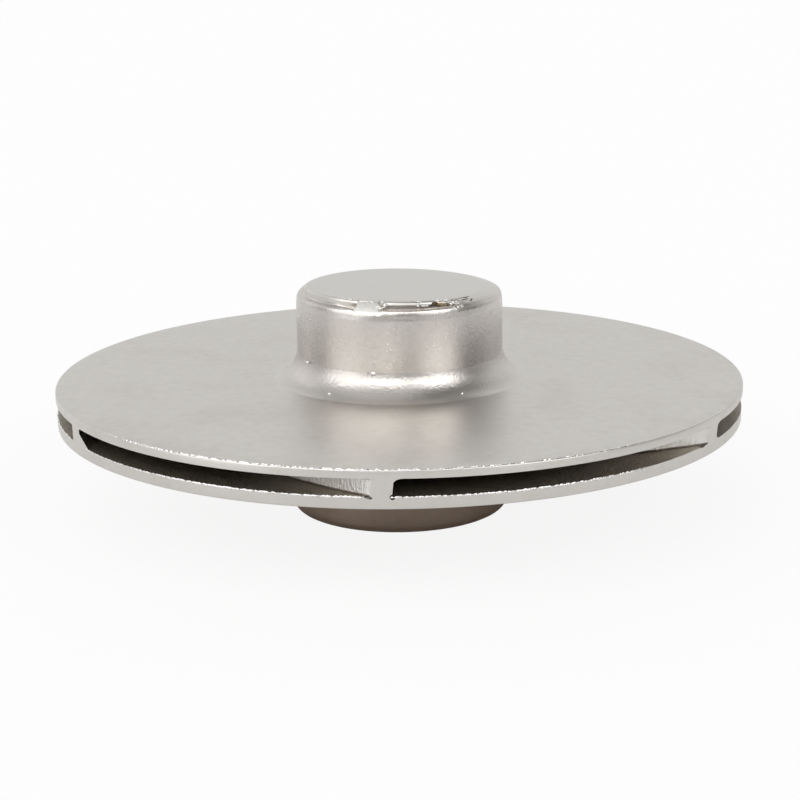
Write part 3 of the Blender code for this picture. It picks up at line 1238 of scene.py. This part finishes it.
@dataclass
class HubCasting:
    """The hub with its flare and the sawn gate stub, in a mesh fine enough to carry the casting's grain.

    Args:
        sizes: Sizes from the frame.
        draft: How much the hub narrows towards its rim.
        off_centre: How far the core sat to the right of the disc's axis.
        flare_round: Radius of the concave flare.
        flare_top: Radius where the flare starts, under the crease.
        flare_turn: How far the flare leans out there, in degrees.
        torn_from: Plan angle in degrees where the smear at the gate starts.
        torn_to: Where it ends.
        grain: Height of the grain.
        steps: How many steps a full turn has.
    """

    sizes: HubSizes = field(default_factory=HubSizes.from_frame)
    draft: float = 0.05 * MM
    off_centre: float = 0.35 * MM
    flare_round: float = 9.05 * MM
    flare_top: float = 31.8 * MM
    flare_turn: float = 6.6
    torn_from: float = 242.6
    torn_to: float = 261.5
    grain: float = 0.017 * MM
    steps: int = 560

    REPLACED = ("hub", "gate_stub")
    # How deep the flare and the hub's closed underside stand in the disc, and where the side starts
    SUNK = 0.1 * MM
    CLOSING_DEPTH = 1 * MM
    SIDE_START = 0.05 * MM
    FLARE_ROWS = 34
    SIDE_ROWS = 54
    FLAT_ROWS = 16
    # Rows over the rim, across the groove's floor and up the stub's wall
    TOP_ROWS = (17, 9, 25)
    SOFTENINGS = 2
    # Where the shaped top starts under the rim, and where the stub's flat top begins, in millimetres
    TOP_DEPTH = 3.0
    FLAT_RADIUS = 26.0
    # Plan angles in degrees between which one shape of the top takes over from the next
    INTO_LEFT = (150.0, 190.0)
    INTO_GROOVE = (230.0, 248.0)
    OUT_OF_GROOVE = (303.0, 310.0)
    # The smear's ragged sides: depth and width of their teeth in degrees of the turn, height as a share
    SMEAR_RAGGED = 1.2
    SMEAR_TEETH = 3.0
    SMEAR_STEP = 1.0 / 9.0
    SMEAR_SEED = 4.0
    # How much it narrows towards the top on either side, and how soft those sides are, in degrees
    SMEAR_NARROWS = (2.2, 3.5)
    SMEAR_SOFT = (1.2, 1.6)
    # Over which heights, counted from the rim, the top's fall and the smear's finish set in
    FALL_FROM = -0.4 * MM
    TORN_HEIGHTS = (-1.8 * MM, 0.4 * MM)
    # Radii over which the smear's finish sets in
    TORN_RADII = (27.6 * MM, 28.1 * MM)
    # Where the grain changes: heights from the rim, radii from the side, and from the stub's edge
    GRAIN_TOP = (-1.5 * MM, 0.5 * MM)
    GRAIN_FLARE = (-0.3 * MM, 0.5 * MM)
    GRAIN_DISC = (2 * MM, 6.5 * MM)
    GRAIN_FLAT = (-2.5 * MM, -1 * MM)
    # How much of the grain is lost on the top, on its flat and on the flare
    LOST_TOP = 0.5
    LOST_FLAT = 0.85
    LOST_FLARE = 0.45
    # Sizes of the grain in millimetres, and how much the wider one counts
    PEBBLE = 0.95
    WIDE_PEBBLE = 1.9
    WIDE_SHARE = 0.2
    WIDE_SEED = Vector((7.0, 3.0, 5.0))

    def rows(self, top: HubTop) -> list[Point2]:
        """A shape of the top as evenly spaced rows, its corners softened.

        Args:
            top: The shape.

        Returns:
            The profile in metres, from the side below the rim to the stub's flat top.
        """
        sizes = self.sizes
        side = ((sizes.radius - self.draft) / MM, (sizes.rim - self.TOP_DEPTH * MM - sizes.disc_top) / MM)
        flat = (self.FLAT_RADIUS, sizes.stub_height / MM)
        stretches = ([side, *top.rim], [top.rim[-1], *top.floor], [top.floor[-1], *top.wall, flat])
        rim, floor, wall = (resampled(part, count) for part, count in zip(stretches, self.TOP_ROWS))
        points = [*rim, *floor[1:], *wall[1:]]
        for _ in range(self.SOFTENINGS):
            runs = zip(points, points[1:], points[2:])
            softer = [tuple((a + 2 * b + c) / 4 for a, b, c in zip(*run)) for run in runs]
            points = [points[0], *softer, points[-1]]
        return [(radius * MM, sizes.disc_top + height * MM) for radius, height in points]

    def grooved_top(self) -> HubTop:
        """The front, where a groove runs between the rim's sharp crest and the stub's undercut wall."""
        crown = self.sizes.stub_height / MM
        side = ((31.44, 24.3), (31.43, 24.7), (31.36, 25.1), (31.27, 25.55))
        return HubTop(
            rim=(*side, (31.15, 25.92), (30.98, 26.22), (30.8, 26.4)),
            floor=((30.5, 26.2), (29.6, 25.9), (28.5, 25.6), (27.3, 25.55)),
            wall=((28.0, 27.0), *arc((27.2, crown - 1.0), 0.97, -18, 90, 8)),
        )

    def torn_top(self) -> HubTop:
        """A smear of metal that the saw dragged over the groove, down from the stub's top."""
        return HubTop(
            rim=((31.44, 24.3), (31.36, 24.8), (31.2, 25.3), (30.9, 25.85)),
            floor=((30.4, 26.4), (29.7, 27.0), (28.9, 27.55)),
            wall=((28.3, 27.95), (27.8, 28.16)),
        )

    def left_top(self) -> HubTop:
        """The left, where the stub is wider and a shallow step stands between the rim and its wall."""
        crown = self.sizes.stub_height / MM
        return HubTop(
            rim=((31.44, 24.5), (31.38, 25.1), (31.26, 25.55), (31.12, 25.88), (30.95, 26.08)),
            floor=((30.4, 26.14), (29.75, 26.18), (29.15, 26.2)),
            wall=((28.95, 26.45), (28.9, 26.8), *arc((28.2, crown - 0.72), 0.72, -5, 90, 7)),
        )

    def open_top(self) -> HubTop:
        """The right and the back, where the flat top runs out to the rim's rounding without a groove."""
        return HubTop(
            rim=((31.44, 24.3), (31.38, 24.9), (31.27, 25.4), (31.05, 25.92), (30.7, 26.4)),
            floor=((30.2, 26.85), (29.5, 27.25), (28.5, 27.66)),
            wall=((27.4, 27.97), (26.7, 28.12)),
        )

    def top_shares(self, plan: float, up: float) -> tuple[float, float, float, float]:
        """How much each shape of the top counts at a plan angle.

        Args:
            plan: The plan angle.
            up: How far up the top, from 0 at the side to 1 at the stub's flat top.

        Returns:
            The shares of the groove, the smear, the left's step and the open top.
        """
        turn = math.degrees(plan) % 360.0
        past_left = smooth_step(turn, *self.INTO_GROOVE)
        left = smooth_step(turn, *self.INTO_LEFT) * (1.0 - past_left)
        groove = past_left * (1.0 - smooth_step(turn, *self.OUT_OF_GROOVE))
        teeth = Vector((turn / self.SMEAR_TEETH, up / self.SMEAR_STEP, self.SMEAR_SEED))
        ragged = self.SMEAR_RAGGED * noise.noise(teeth)
        first = self.torn_from + self.SMEAR_NARROWS[0] * up + ragged
        last = self.torn_to - self.SMEAR_NARROWS[1] * up - ragged
        torn = smooth_step(turn, first, first + self.SMEAR_SOFT[0])
        torn *= 1.0 - smooth_step(turn, last - self.SMEAR_SOFT[1], last)
        open_share = 1.0 - left - groove
        return groove * (1.0 - torn), torn, left * (1.0 - torn), open_share * (1.0 - torn)

    def profile(self, over: Sequence[Point2], crown: float) -> list[Point2]:
        """The profile that is turned: the flare, the side, the top and the flat.

        Args:
            over: The top's rows, the first of them on the side.
            crown: Height of the stub's flat top.

        Returns:
            The profile, from the axis under the disc's back to the axis at the crown.
        """
        sizes = self.sizes
        lean = math.radians(self.flare_turn)
        centre_radius = self.flare_top + self.flare_round * math.cos(lean)
        centre_height = sizes.foot + self.flare_round * math.sin(lean)
        sunk = sizes.disc_top - self.SUNK
        foot_deg = 180.0 + math.degrees(math.asin((centre_height - sunk) / self.flare_round))
        crease_deg = 180.0 + self.flare_turn
        flare = arc((centre_radius, centre_height), self.flare_round, foot_deg, crease_deg, self.FLARE_ROWS)
        closing = sizes.disc_top - self.CLOSING_DEPTH
        side = resampled([(sizes.radius, sizes.foot + self.SIDE_START), over[0]], self.SIDE_ROWS)
        flat = [(over[-1][0] * (1 - i / self.FLAT_ROWS), crown) for i in range(1, self.FLAT_ROWS)]
        return [(0.0, closing), (flare[0][0], closing), *flare, *side, *over[1:], *flat, (0.0, crown)]

    def build(self) -> bpy.types.Object:
        """Turns the hub, shapes its rim round the turn and roughens its skin.

        Returns:
            The hub.
        """
        sizes = self.sizes
        crown = sizes.disc_top + sizes.stub_height
        shapes = (self.grooved_top(), self.torn_top(), self.left_top(), self.open_top())
        tops = [self.rows(shape) for shape in shapes]
        work = spin_profile(self.profile(tops[0], crown), self.steps, closed=False)
        count = len(tops[0]) - 1
        shaped = zip(*[top[1:] for top in tops], strict=True)
        rows = [(number / count, *row) for number, row in enumerate(shaped)]
        tiny = 0.002 * MM
        for vert in work.verts:
            radius = math.hypot(vert.co.x, vert.co.y)
            here = (radius, vert.co.z)
            row = min(rows, key=lambda row: math.dist(row[1], here))
            if math.dist(row[1], here) < tiny:
                shares = self.top_shares(math.atan2(vert.co.y, vert.co.x), row[0])
                new_radius = sum(share * point[0] for share, point in zip(shares, row[1:]))
                vert.co.z = sum(share * point[1] for share, point in zip(shares, row[1:]))
                vert.co.x *= new_radius / radius
                vert.co.y *= new_radius / radius
            above = smooth_step(vert.co.z, sizes.rim + self.FALL_FROM, crown)
            vert.co.z += sizes.fall(vert.co.x, vert.co.y) * above
            vert.co.x += self.off_centre
        self.roughen(work)
        hub = make_object(work, "hub_casting")
        self.mark(hub.data, crown)
        dress(hub, [HubSkin().material()], self.REPLACED, sharp_deg=48.0)
        return hub

    def mark(self, mesh: bpy.types.Mesh, crown: float) -> None:
        """Sets how torn each point is: full on the smear that lies over the groove."""
        rim = self.sizes.rim
        torn = mesh.attributes.new("torn", "FLOAT", "POINT")
        for point, vert in zip(torn.data, mesh.vertices):
            place = vert.co
            up = (place.z - rim) / (crown - rim)
            share = self.top_shares(math.atan2(place.y, place.x - self.off_centre), up)[1]
            share *= faded(place.z, rim, self.TORN_HEIGHTS)
            point.value = share * smooth_step(math.hypot(place.x, place.y), *self.TORN_RADII)

    def roughen(self, work: bmesh.types.BMesh) -> None:
        """Moves the points along their normals by the casting's grain, less on the flat top and the flare."""
        work.normal_update()
        sizes = self.sizes
        for vert in work.verts:
            radius = math.hypot(vert.co.x - self.off_centre, vert.co.y)
            share = 1.0 - faded(radius, sizes.radius, self.GRAIN_DISC)
            share *= 1.0 - self.LOST_TOP * faded(vert.co.z, sizes.rim, self.GRAIN_TOP)
            share *= 1.0 - self.LOST_FLAT * (1.0 - faded(radius, sizes.stub_radius, self.GRAIN_FLAT))
            share *= 1.0 - self.LOST_FLARE * faded(radius, sizes.radius, self.GRAIN_FLARE)
            place = vert.co / MM
            wide = noise.noise(place / self.WIDE_PEBBLE + self.WIDE_SEED)
            bumps = noise.noise(place / self.PEBBLE) + self.WIDE_SHARE * wide
            vert.co += vert.normal * self.grain * share * bumps


@dataclass
class EdgeBurr:
    """A ragged thread of burr along a round edge. Where there is none, it lies inside the metal.

    Args:
        name: The piece's name.
        radius: Radius of the edge.
        level: Height of the edge.
        reach: Greatest thickness of the thread.
        strength: How much burr there is at a plan angle, from 0 to 1.
        seed: Where the noise is read.
        sink: Direction (r, z) into the metal.
        steps: How many steps a full turn has.
    """

    name: str
    radius: float
    level: float
    reach: float
    strength: Callable[[float], float]
    seed: float
    sink: Point2 = (-0.7, -0.7)
    steps: int = 2400

    SIDES = 6
    # Lengths of the teeth along the edge and of the lumps on the thread in millimetres, and their shares
    COARSE = 5.5
    FINE = 0.9
    FINE_SEED = 9.0
    LUMPS = 0.45
    COARSE_SHARE = 0.6
    LUMP_SHARE = 0.3
    # Thickness where there is no burr, and how deep the thread then lies, as shares of the reach
    THINNEST = 0.25
    DEEPEST = 1.4

    def build(self, metal: bpy.types.Material) -> bpy.types.Object:
        """Turns the thread and shapes it.

        Args:
            metal: Its finish.

        Returns:
            The burr.
        """
        loop = arc((self.radius, self.level), self.reach, 0, 360 - 360 / self.SIDES, self.SIDES - 1)
        work = spin_profile(loop, self.steps, closed=True)
        for vert in work.verts:
            flat = math.hypot(vert.co.x, vert.co.y)
            plan = math.atan2(vert.co.y, vert.co.x)
            run = plan * self.radius / MM
            coarse = noise.noise(Vector((run / self.COARSE, self.seed, 0.0)))
            fine = noise.noise(Vector((run / self.FINE, self.seed, self.FINE_SEED)))
            share = 1.0 + self.COARSE_SHARE * coarse + fine
            share = min(1.0, max(0.0, share)) * self.strength(plan)
            lumpy = 1.0 + self.LUMP_SHARE * noise.noise(vert.co / (self.LUMPS * MM))
            shrink = (self.THINNEST + (1.0 - self.THINNEST) * share) * lumpy
            deep = self.reach * self.DEEPEST * (1.0 - share)
            new_flat = self.radius + (flat - self.radius) * shrink + self.sink[0] * deep
            new_flat = min(new_flat, self.radius + self.reach)
            vert.co.z = self.level + (vert.co.z - self.level) * shrink + self.sink[1] * deep
            vert.co.x *= new_flat / flat
            vert.co.y *= new_flat / flat
        piece = make_object(work, self.name)
        dress(piece, [metal], sharp_deg=60.0)
        return piece


@dataclass(frozen=True)
class BurrZone:
    """A stretch of an edge that has burr.

    Args:
        middle_deg: Plan angle of its middle from the front, positive to the right.
        half_deg: Half its length.
        soft_deg: Over how much more it fades out.
        strength: How much burr it has, from 0 to 1.
    """

    middle_deg: float
    half_deg: float
    soft_deg: float
    strength: float

    def at(self, plan: float) -> float:
        """How much burr it gives at a plan angle."""
        off = abs((plan - FRONT - math.radians(self.middle_deg) + math.pi) % math.tau - math.pi)
        fade = (math.radians(self.half_deg), math.radians(self.half_deg + self.soft_deg))
        return self.strength * (1.0 - smooth_step(off, *fade))


VANE_FORM = VaneForm()
# Plan angles from a vane's middle between which the lip's burr sets in
BESIDE_VANE = (math.radians(1.4), math.radians(2.6))
# The disc's edge: strong burr at the front left, broken at the front right, faint elsewhere
DISC_BURR = (
    BurrZone(-22.0, 22.0, 20.0, strength=1.0),
    BurrZone(20.0, 16.0, 8.0, strength=0.85),
    BurrZone(5.0, 58.0, 10.0, strength=0.7),
)
DISC_BURR_LEAST = 0.4
# The front shroud's inner edge, where the stretches add up
LIP_BURR = (
    BurrZone(-24.0, 62.0, 6.0, strength=0.6),
    BurrZone(0.0, 38.0, 8.0, strength=0.2),
)
LIP_BURR_LEAST = 0.2


def disc_burr_strength(plan: float) -> float:
    """Burr on the disc's edge at a plan angle."""
    return max(DISC_BURR_LEAST, *[zone.at(plan) for zone in DISC_BURR])


def lip_burr_strength(plan: float) -> float:
    """Burr on the front shroud's inner edge: in the openings, and none at the vanes' ends."""
    clear = smooth_step(abs(VANE_FORM.off_nearest(plan)), *BESIDE_VANE)
    return clear * (LIP_BURR_LEAST + sum(zone.at(plan) for zone in LIP_BURR))


@dataclass
class Lump:
    """A small lump of metal.

    Args:
        from_front: Plan angle from the front, in degrees, positive to the right.
        radius: Distance from the shaft axis.
        level: Height.
        size: Half sizes along the turn, outwards and up, in millimetres.
        roughness: How ragged it is.
        finish: Its finish, where its piece has several.
        tip: Rotation about the outward direction, in degrees.
    """

    from_front: float
    radius: float
    level: float
    size: tuple[float, float, float]
    roughness: float
    finish: TearFinish = TearFinish.METAL
    tip: float = 0.0

    RAGGED_SIZE = 1.7

    def add(self, work: bmesh.types.BMesh, subdivisions: int) -> None:
        """Adds it to a mesh.

        Args:
            work: The mesh.
            subdivisions: Of its icosphere.
        """
        plan = FRONT + math.radians(self.from_front)
        made = bmesh.ops.create_icosphere(work, subdivisions=subdivisions, radius=1.0)["verts"]
        seed = Vector((self.from_front, self.level / MM, 0.0))
        for vert in made:
            vert.co *= 1.0 + self.roughness * noise.noise(vert.co * self.RAGGED_SIZE + seed)
        turn = Matrix.Rotation(plan + math.pi / 2, 4, "Z") @ Matrix.Rotation(math.radians(self.tip), 4, "Y")
        place = Matrix.Translation((self.radius * math.cos(plan), self.radius * math.sin(plan), self.level))
        bmesh.ops.scale(work, verts=made, vec=tuple(part * MM for part in self.size))
        bmesh.ops.transform(work, verts=made, matrix=place @ turn)
        for face in {face for vert in made for face in vert.link_faces}:
            face.material_index = self.finish.value


@dataclass
class GateBurrs:
    """Torn metal at the front of the gate stub, where the saw and grinder left it, with dark lumps of painted
    shade for a hole and two laps, and a rust stain.

    Args:
        sizes: Sizes from the frame.
    """

    sizes: HubSizes = field(default_factory=HubSizes.from_frame)

    # Plan angle from the front in degrees, then out from the stub's edge and up from its flat top in
    # millimetres, half sizes, raggedness and tip
    METAL_TEARS = (
        (-39.5, -0.1, -0.07, (0.8, 0.22, 0.1), 0.6, 0.0),
        (-36.2, -0.1, -0.07, (0.6, 0.22, 0.12), 0.6, 0.0),
        (-33.6, -0.1, -0.07, (0.5, 0.22, 0.1), 0.6, 0.0),
        (-30.4, -0.1, -0.07, (0.9, 0.22, 0.12), 0.6, 0.0),
        (-26.4, -0.1, -0.07, (0.7, 0.22, 0.1), 0.6, 0.0),
        (-23.2, -0.1, -0.07, (0.6, 0.22, 0.1), 0.6, 0.0),
        (-20.0, 0.25, -0.25, (1.6, 0.4, 0.25), 0.4, 0.0),
        (-15.4, 0.2, -0.25, (1.3, 0.4, 0.22), 0.4, 0.0),
        (-12.2, 1.3, -1.5, (0.9, 0.35, 0.25), 0.5, -35.0),
        (-10.8, 1.6, -1.9, (0.9, 0.35, 0.25), 0.5, -30.0),
        (-9.6, 0.3, -0.3, (0.5, 0.45, 0.45), 0.5, 0.0),
        (-7.5, 0.6, -0.9, (0.55, 0.5, 0.5), 0.5, 0.0),
        (-8.8, 0.5, -1.6, (0.7, 0.45, 0.3), 0.6, -15.0),
        (11.4, 0.1, 0.0, (1.5, 0.3, 0.2), 0.4, 14.0),
        (11.7, 0.5, -1.0, (0.4, 0.45, 0.6), 0.6, -20.0),
        (15.7, 0.7, -1.2, (1.2, 0.45, 0.28), 0.5, 0.0),
        (25.5, 0.15, 0.05, (1.15, 0.6, 0.4), 0.5, -4.0),
        (30.4, 0.2, -0.2, (1.05, 0.55, 0.35), 0.5, 4.0),
        (33.6, 0.6, -1.1, (0.9, 0.5, 0.4), 0.6, -12.0),
        (37.6, 0.8, -1.3, (0.9, 0.5, 0.3), 0.5, 6.0),
        (42.0, 0.6, -0.3, (2.0, 0.35, 0.2), 0.4, 0.0),
        (31.8, 3.0, -2.0, (0.5, 0.3, 0.28), 0.6, 15.0),
        (34.6, 3.0, -2.0, (0.4, 0.3, 0.3), 0.6, -15.0),
        (37.4, 3.0, -1.95, (0.45, 0.3, 0.26), 0.6, 20.0),
    )
    # Dark lumps of painted shade: a hole at the gate, and the shadow lines under two laps
    SHADE_TEARS = (
        (22.3, 0.2, -0.95, (1.05, 0.55, 0.5), 0.4, 0.0),
        (43.1, 0.35, -0.1, (2.2, 0.22, 0.14), 0.3, 0.0),
        (46.0, 1.6, -0.97, (1.1, 0.25, 0.16), 0.3, -25.0),
    )
    RUST_TEARS = ((27.0, 0.25, -1.2, (1.4, 0.6, 0.42), 0.5, 6.0),)

    def flat_level(self, from_front: float) -> float:
        """Height of the stub's flat top at its edge."""
        sizes = self.sizes
        plan = FRONT + math.radians(from_front)
        fall = sizes.fall(sizes.stub_radius * math.cos(plan), sizes.stub_radius * math.sin(plan))
        return sizes.disc_top + sizes.stub_height + fall

    def lumps(self) -> list[Lump]:
        """The lumps that the torn metal is made of."""
        tears = {
            TearFinish.METAL: self.METAL_TEARS,
            TearFinish.SLAG: self.SHADE_TEARS,
            TearFinish.RUST: self.RUST_TEARS,
        }
        made = []
        for finish, rows in tears.items():
            for turn, out, drop, half, ragged, tip in rows:
                radius = self.sizes.stub_radius + out * MM
                level = self.flat_level(turn) + drop * MM
                made.append(Lump(turn, radius, level, half, ragged, finish, tip))
        return made

    def build(self, metal: bpy.types.Material) -> bpy.types.Object:
        """Makes the torn metal.

        Args:
            metal: The finish of torn metal.

        Returns:
            The piece.
        """
        work = bmesh.new()
        for lump in self.lumps():
            lump.add(work, subdivisions=4)
        for vert in work.verts:
            vert.co.z = min(vert.co.z, self.sizes.top)
        piece = make_object(work, "gate_burrs")
        # Painted shade for the dark lumps; the rust stain is the metal's own colour
        shade_lumps = ShadeAndRustSkin().material()
        rust = ShadeAndRustSkin("slag_stain", light=(0.42, 0.33, 0.18), dark=(0.16, 0.11, 0.05)).material()
        dress(piece, [metal, shade_lumps, rust], sharp_deg=50.0)
        return piece


@dataclass
class CastBeads:
    """Beads of metal that the mould's bubbles left on the hub, its flare and the lower lip.

    Args:
        sizes: Sizes from the frame.
        scattered: How many small ones are scattered over the hub.
        seed: Of their places.
    """

    sizes: HubSizes = field(default_factory=HubSizes.from_frame)
    scattered: int = 34
    seed: int = 5

    # In millimetres: half sizes of the small beads, how high over the disc and how deep they sit
    SMALL = (0.1, 0.17)
    SMALL_HEIGHTS = (9.0, 22.0)
    SMALL_DEPTH = 0.12

    def placed(self) -> list[Lump]:
        """The larger beads: two at the crease, two on the flare and one on the lower lip."""
        top = self.sizes.disc_top
        foot = self.sizes.foot
        radius = self.sizes.radius
        lip = WheelSizes.from_frame()
        return [
            Lump(-13.9, radius + 0.3 * MM, foot - 0.1 * MM, (0.8, 0.6, 0.7), 0.15),
            Lump(-59.0, radius + 0.35 * MM, foot + 0.1 * MM, (0.5, 0.5, 0.5), 0.15),
            Lump(-35.5, radius + 4.0 * MM, top + 1.2 * MM, (0.55, 0.4, 0.4), 0.3),
            Lump(31.0, radius + 4.2 * MM, top + 1.1 * MM, (0.5, 0.4, 0.4), 0.3),
            Lump(-0.55, lip.front_radius - 0.1 * MM, lip.lip_top - 0.3 * MM, (0.6, 0.28, 0.32), 0.3),
        ]

    def small(self) -> list[Lump]:
        """The small beads, scattered over the hub's side."""
        draws = random.Random(self.seed)
        radius = self.sizes.radius - self.SMALL_DEPTH * MM
        made = []
        for _ in range(self.scattered):
            size = draws.uniform(*self.SMALL)
            level = self.sizes.disc_top + draws.uniform(*self.SMALL_HEIGHTS) * MM
            half = (size * 1.1, size, size * 1.2)
            made.append(Lump(draws.uniform(-180.0, 180.0), radius, level, half, 0.2))
        return made

    def build(self, metal: bpy.types.Material) -> bpy.types.Object:
        """Makes the beads.

        Args:
            metal: Their finish.

        Returns:
            The piece.
        """
        work = bmesh.new()
        for lump in [*self.placed(), *self.small()]:
            lump.add(work, subdivisions=3)
        piece = make_object(work, "cast_beads")
        dress(piece, [metal], sharp_deg=80.0)
        return piece


@dataclass(frozen=True)
class SkyPanel:
    """A soft round panel of light, far away.

    Args:
        turn_deg: Its direction in plan from the front, positive to the right.
        height_deg: Its height over the horizon.
        half_deg: Half the width of its even part.
        radiance: How bright it is.
        soft_deg: Width of its soft edge.
    """

    turn_deg: float
    height_deg: float
    half_deg: float
    radiance: float
    soft_deg: float = 10.0

    def glow(self, bench: Bench, way: bpy.types.NodeSocket) -> Signal:
        """Light from the panel.

        Args:
            bench: The sky's nodes.
            way: The direction that is looked in.

        Returns:
            The radiance there.
        """
        turn, height = math.radians(self.turn_deg), math.radians(self.height_deg)
        towards = (math.cos(height) * math.sin(turn), -math.cos(height) * math.cos(turn), math.sin(height))
        close = bench.node("ShaderNodeVectorMath", {"operation": "DOT_PRODUCT"}, {0: way, 1: towards})
        near = math.cos(math.radians(self.half_deg))
        far = math.cos(math.radians(self.half_deg + self.soft_deg))
        return Signal(bench, close.outputs["Value"]).rise(far, near) * self.radiance


@dataclass
class Studio:
    """Floor, light and camera.

    Args:
        floor_radius: Radius of the floor.
        distance: From the camera to the middle of the disc's back.
        elevation: Of the camera over that point.
        pan: Turn of the camera to the right, from that point.
        tilt: Turn of the camera up, from that point.
        roll: Turn about its own axis.
        lens: Focal length in millimetres.
        sensor: Width of the sensor in millimetres.
        room_light: Light of the dim room between the panels.
    """

    floor_radius: float = 6.0
    distance: float = 0.63
    elevation: float = math.radians(13.788)
    pan: float = math.radians(0.0182)
    tilt: float = math.radians(-0.7472)
    roll: float = math.radians(-0.7427)
    lens: float = 91.65
    sensor: float = 36.0
    room_light: float = 0.11

    # Two windows in front light the hub's left and right side
    FRONT_LEFT = SkyPanel(turn_deg=-60.0, height_deg=22.0, half_deg=20.0, radiance=1.85)
    FRONT_RIGHT = SkyPanel(turn_deg=44.0, height_deg=29.0, half_deg=17.0, radiance=2.6)
    # A lamp between them lights the flare, and a weak one closes the gap in the flare's bright band
    FRONT_LAMP = SkyPanel(turn_deg=-15.0, height_deg=30.0, half_deg=10.0, radiance=3.3)
    FRONT_FILL = SkyPanel(turn_deg=11.0, height_deg=31.0, half_deg=3.0, radiance=1.9, soft_deg=9.0)
    # The room's ceiling and walls. The back wall is what the disc's flat back mirrors
    CEILING = SkyPanel(turn_deg=-50.0, height_deg=62.0, half_deg=29.0, radiance=0.58)
    LEFT_WALL = SkyPanel(turn_deg=-115.0, height_deg=22.0, half_deg=18.0, radiance=0.6)
    RIGHT_WALL = SkyPanel(turn_deg=110.0, height_deg=20.0, half_deg=15.0, radiance=0.33)
    BACK_WALL = SkyPanel(turn_deg=178.0, height_deg=6.0, half_deg=26.0, radiance=0.76, soft_deg=55.0)
    PANELS = (FRONT_LEFT, FRONT_RIGHT, FRONT_LAMP, FRONT_FILL, CEILING, LEFT_WALL, RIGHT_WALL, BACK_WALL)

    def build(self) -> None:
        """Lays the floor, lights the sky and sets up the camera."""
        work = bmesh.new()
        bmesh.ops.create_circle(work, cap_ends=True, segments=96, radius=self.floor_radius)
        floor = make_object(work, "studio_floor")
        floor.data.materials.append(StudioFloor().material())
        self.sky()
        self.camera()

    def sky(self) -> None:
        """Hangs the panels in a dim room. The camera itself sees plain white paper behind the casting."""
        bench = Bench.for_sky("studio_sky")
        bpy.context.scene.world = bench.owner
        way = bench.node("ShaderNodeTexCoord", {}, {}).outputs["Generated"]
        level = sum((panel.glow(bench, way) for panel in self.PANELS), self.room_light)
        seen = bench.seen()
        bench.feed(bench.shader.inputs["Strength"], level * (1.0 - seen) + seen)
        bench.shader.inputs["Color"].default_value = opaque((1.0, 1.0, 1.0))

    def camera(self) -> None:
        """Places the camera where the photograph was taken from."""
        aim = Vector((0.0, 0.0, WheelSizes.from_frame().disc_top))
        offset = Vector((0.0, -math.cos(self.elevation), math.sin(self.elevation))) * self.distance
        forward = -offset.normalized()
        right = Vector((1.0, 0.0, 0.0))
        up = right.cross(forward)
        forward = (forward + math.tan(self.pan) * right + math.tan(self.tilt) * up).normalized()
        right = forward.cross(up).normalized()
        up = right.cross(forward)
        turned_right = math.cos(self.roll) * right + math.sin(self.roll) * up
        turned_up = -math.sin(self.roll) * right + math.cos(self.roll) * up
        data = bpy.data.cameras.new("photo_camera")
        data.lens = self.lens
        data.sensor_width = self.sensor
        data.sensor_fit = "HORIZONTAL"
        data.clip_start = 0.01
        made = bpy.data.objects.new("photo_camera", data)
        matrix = Matrix((turned_right, turned_up, -forward)).transposed().to_4x4()
        matrix.translation = aim + offset
        made.matrix_world = matrix
        bpy.context.scene.collection.objects.link(made)
        bpy.context.scene.camera = made


def main() -> None:
    """Builds the casting piece by piece, then the studio."""
    logging.basicConfig(level=logging.INFO, format="%(name)s %(message)s")
    bpy.context.scene.view_settings.view_transform = "Standard"
    wheel = Wheel()
    wheel.build()
    HubCasting().build()
    metal = BareMetal().material()
    sizes = wheel.sizes
    EdgeBurr(
        name="disc_burr",
        radius=sizes.disc_radius - 0.42 * MM,
        level=sizes.disc_top - 0.13 * MM,
        reach=0.41 * MM,
        strength=disc_burr_strength,
        seed=3.0,
    ).build(metal)
    EdgeBurr(
        name="lip_burr",
        radius=sizes.front_radius - 0.12 * MM,
        level=sizes.lip_top - 0.12 * MM,
        reach=0.34 * MM,
        strength=lip_burr_strength,
        seed=11.0,
    ).build(metal)
    GateBurrs().build(metal)
    CastBeads().build(metal)
    Studio().build()


if __name__ == "__main__":
    main()
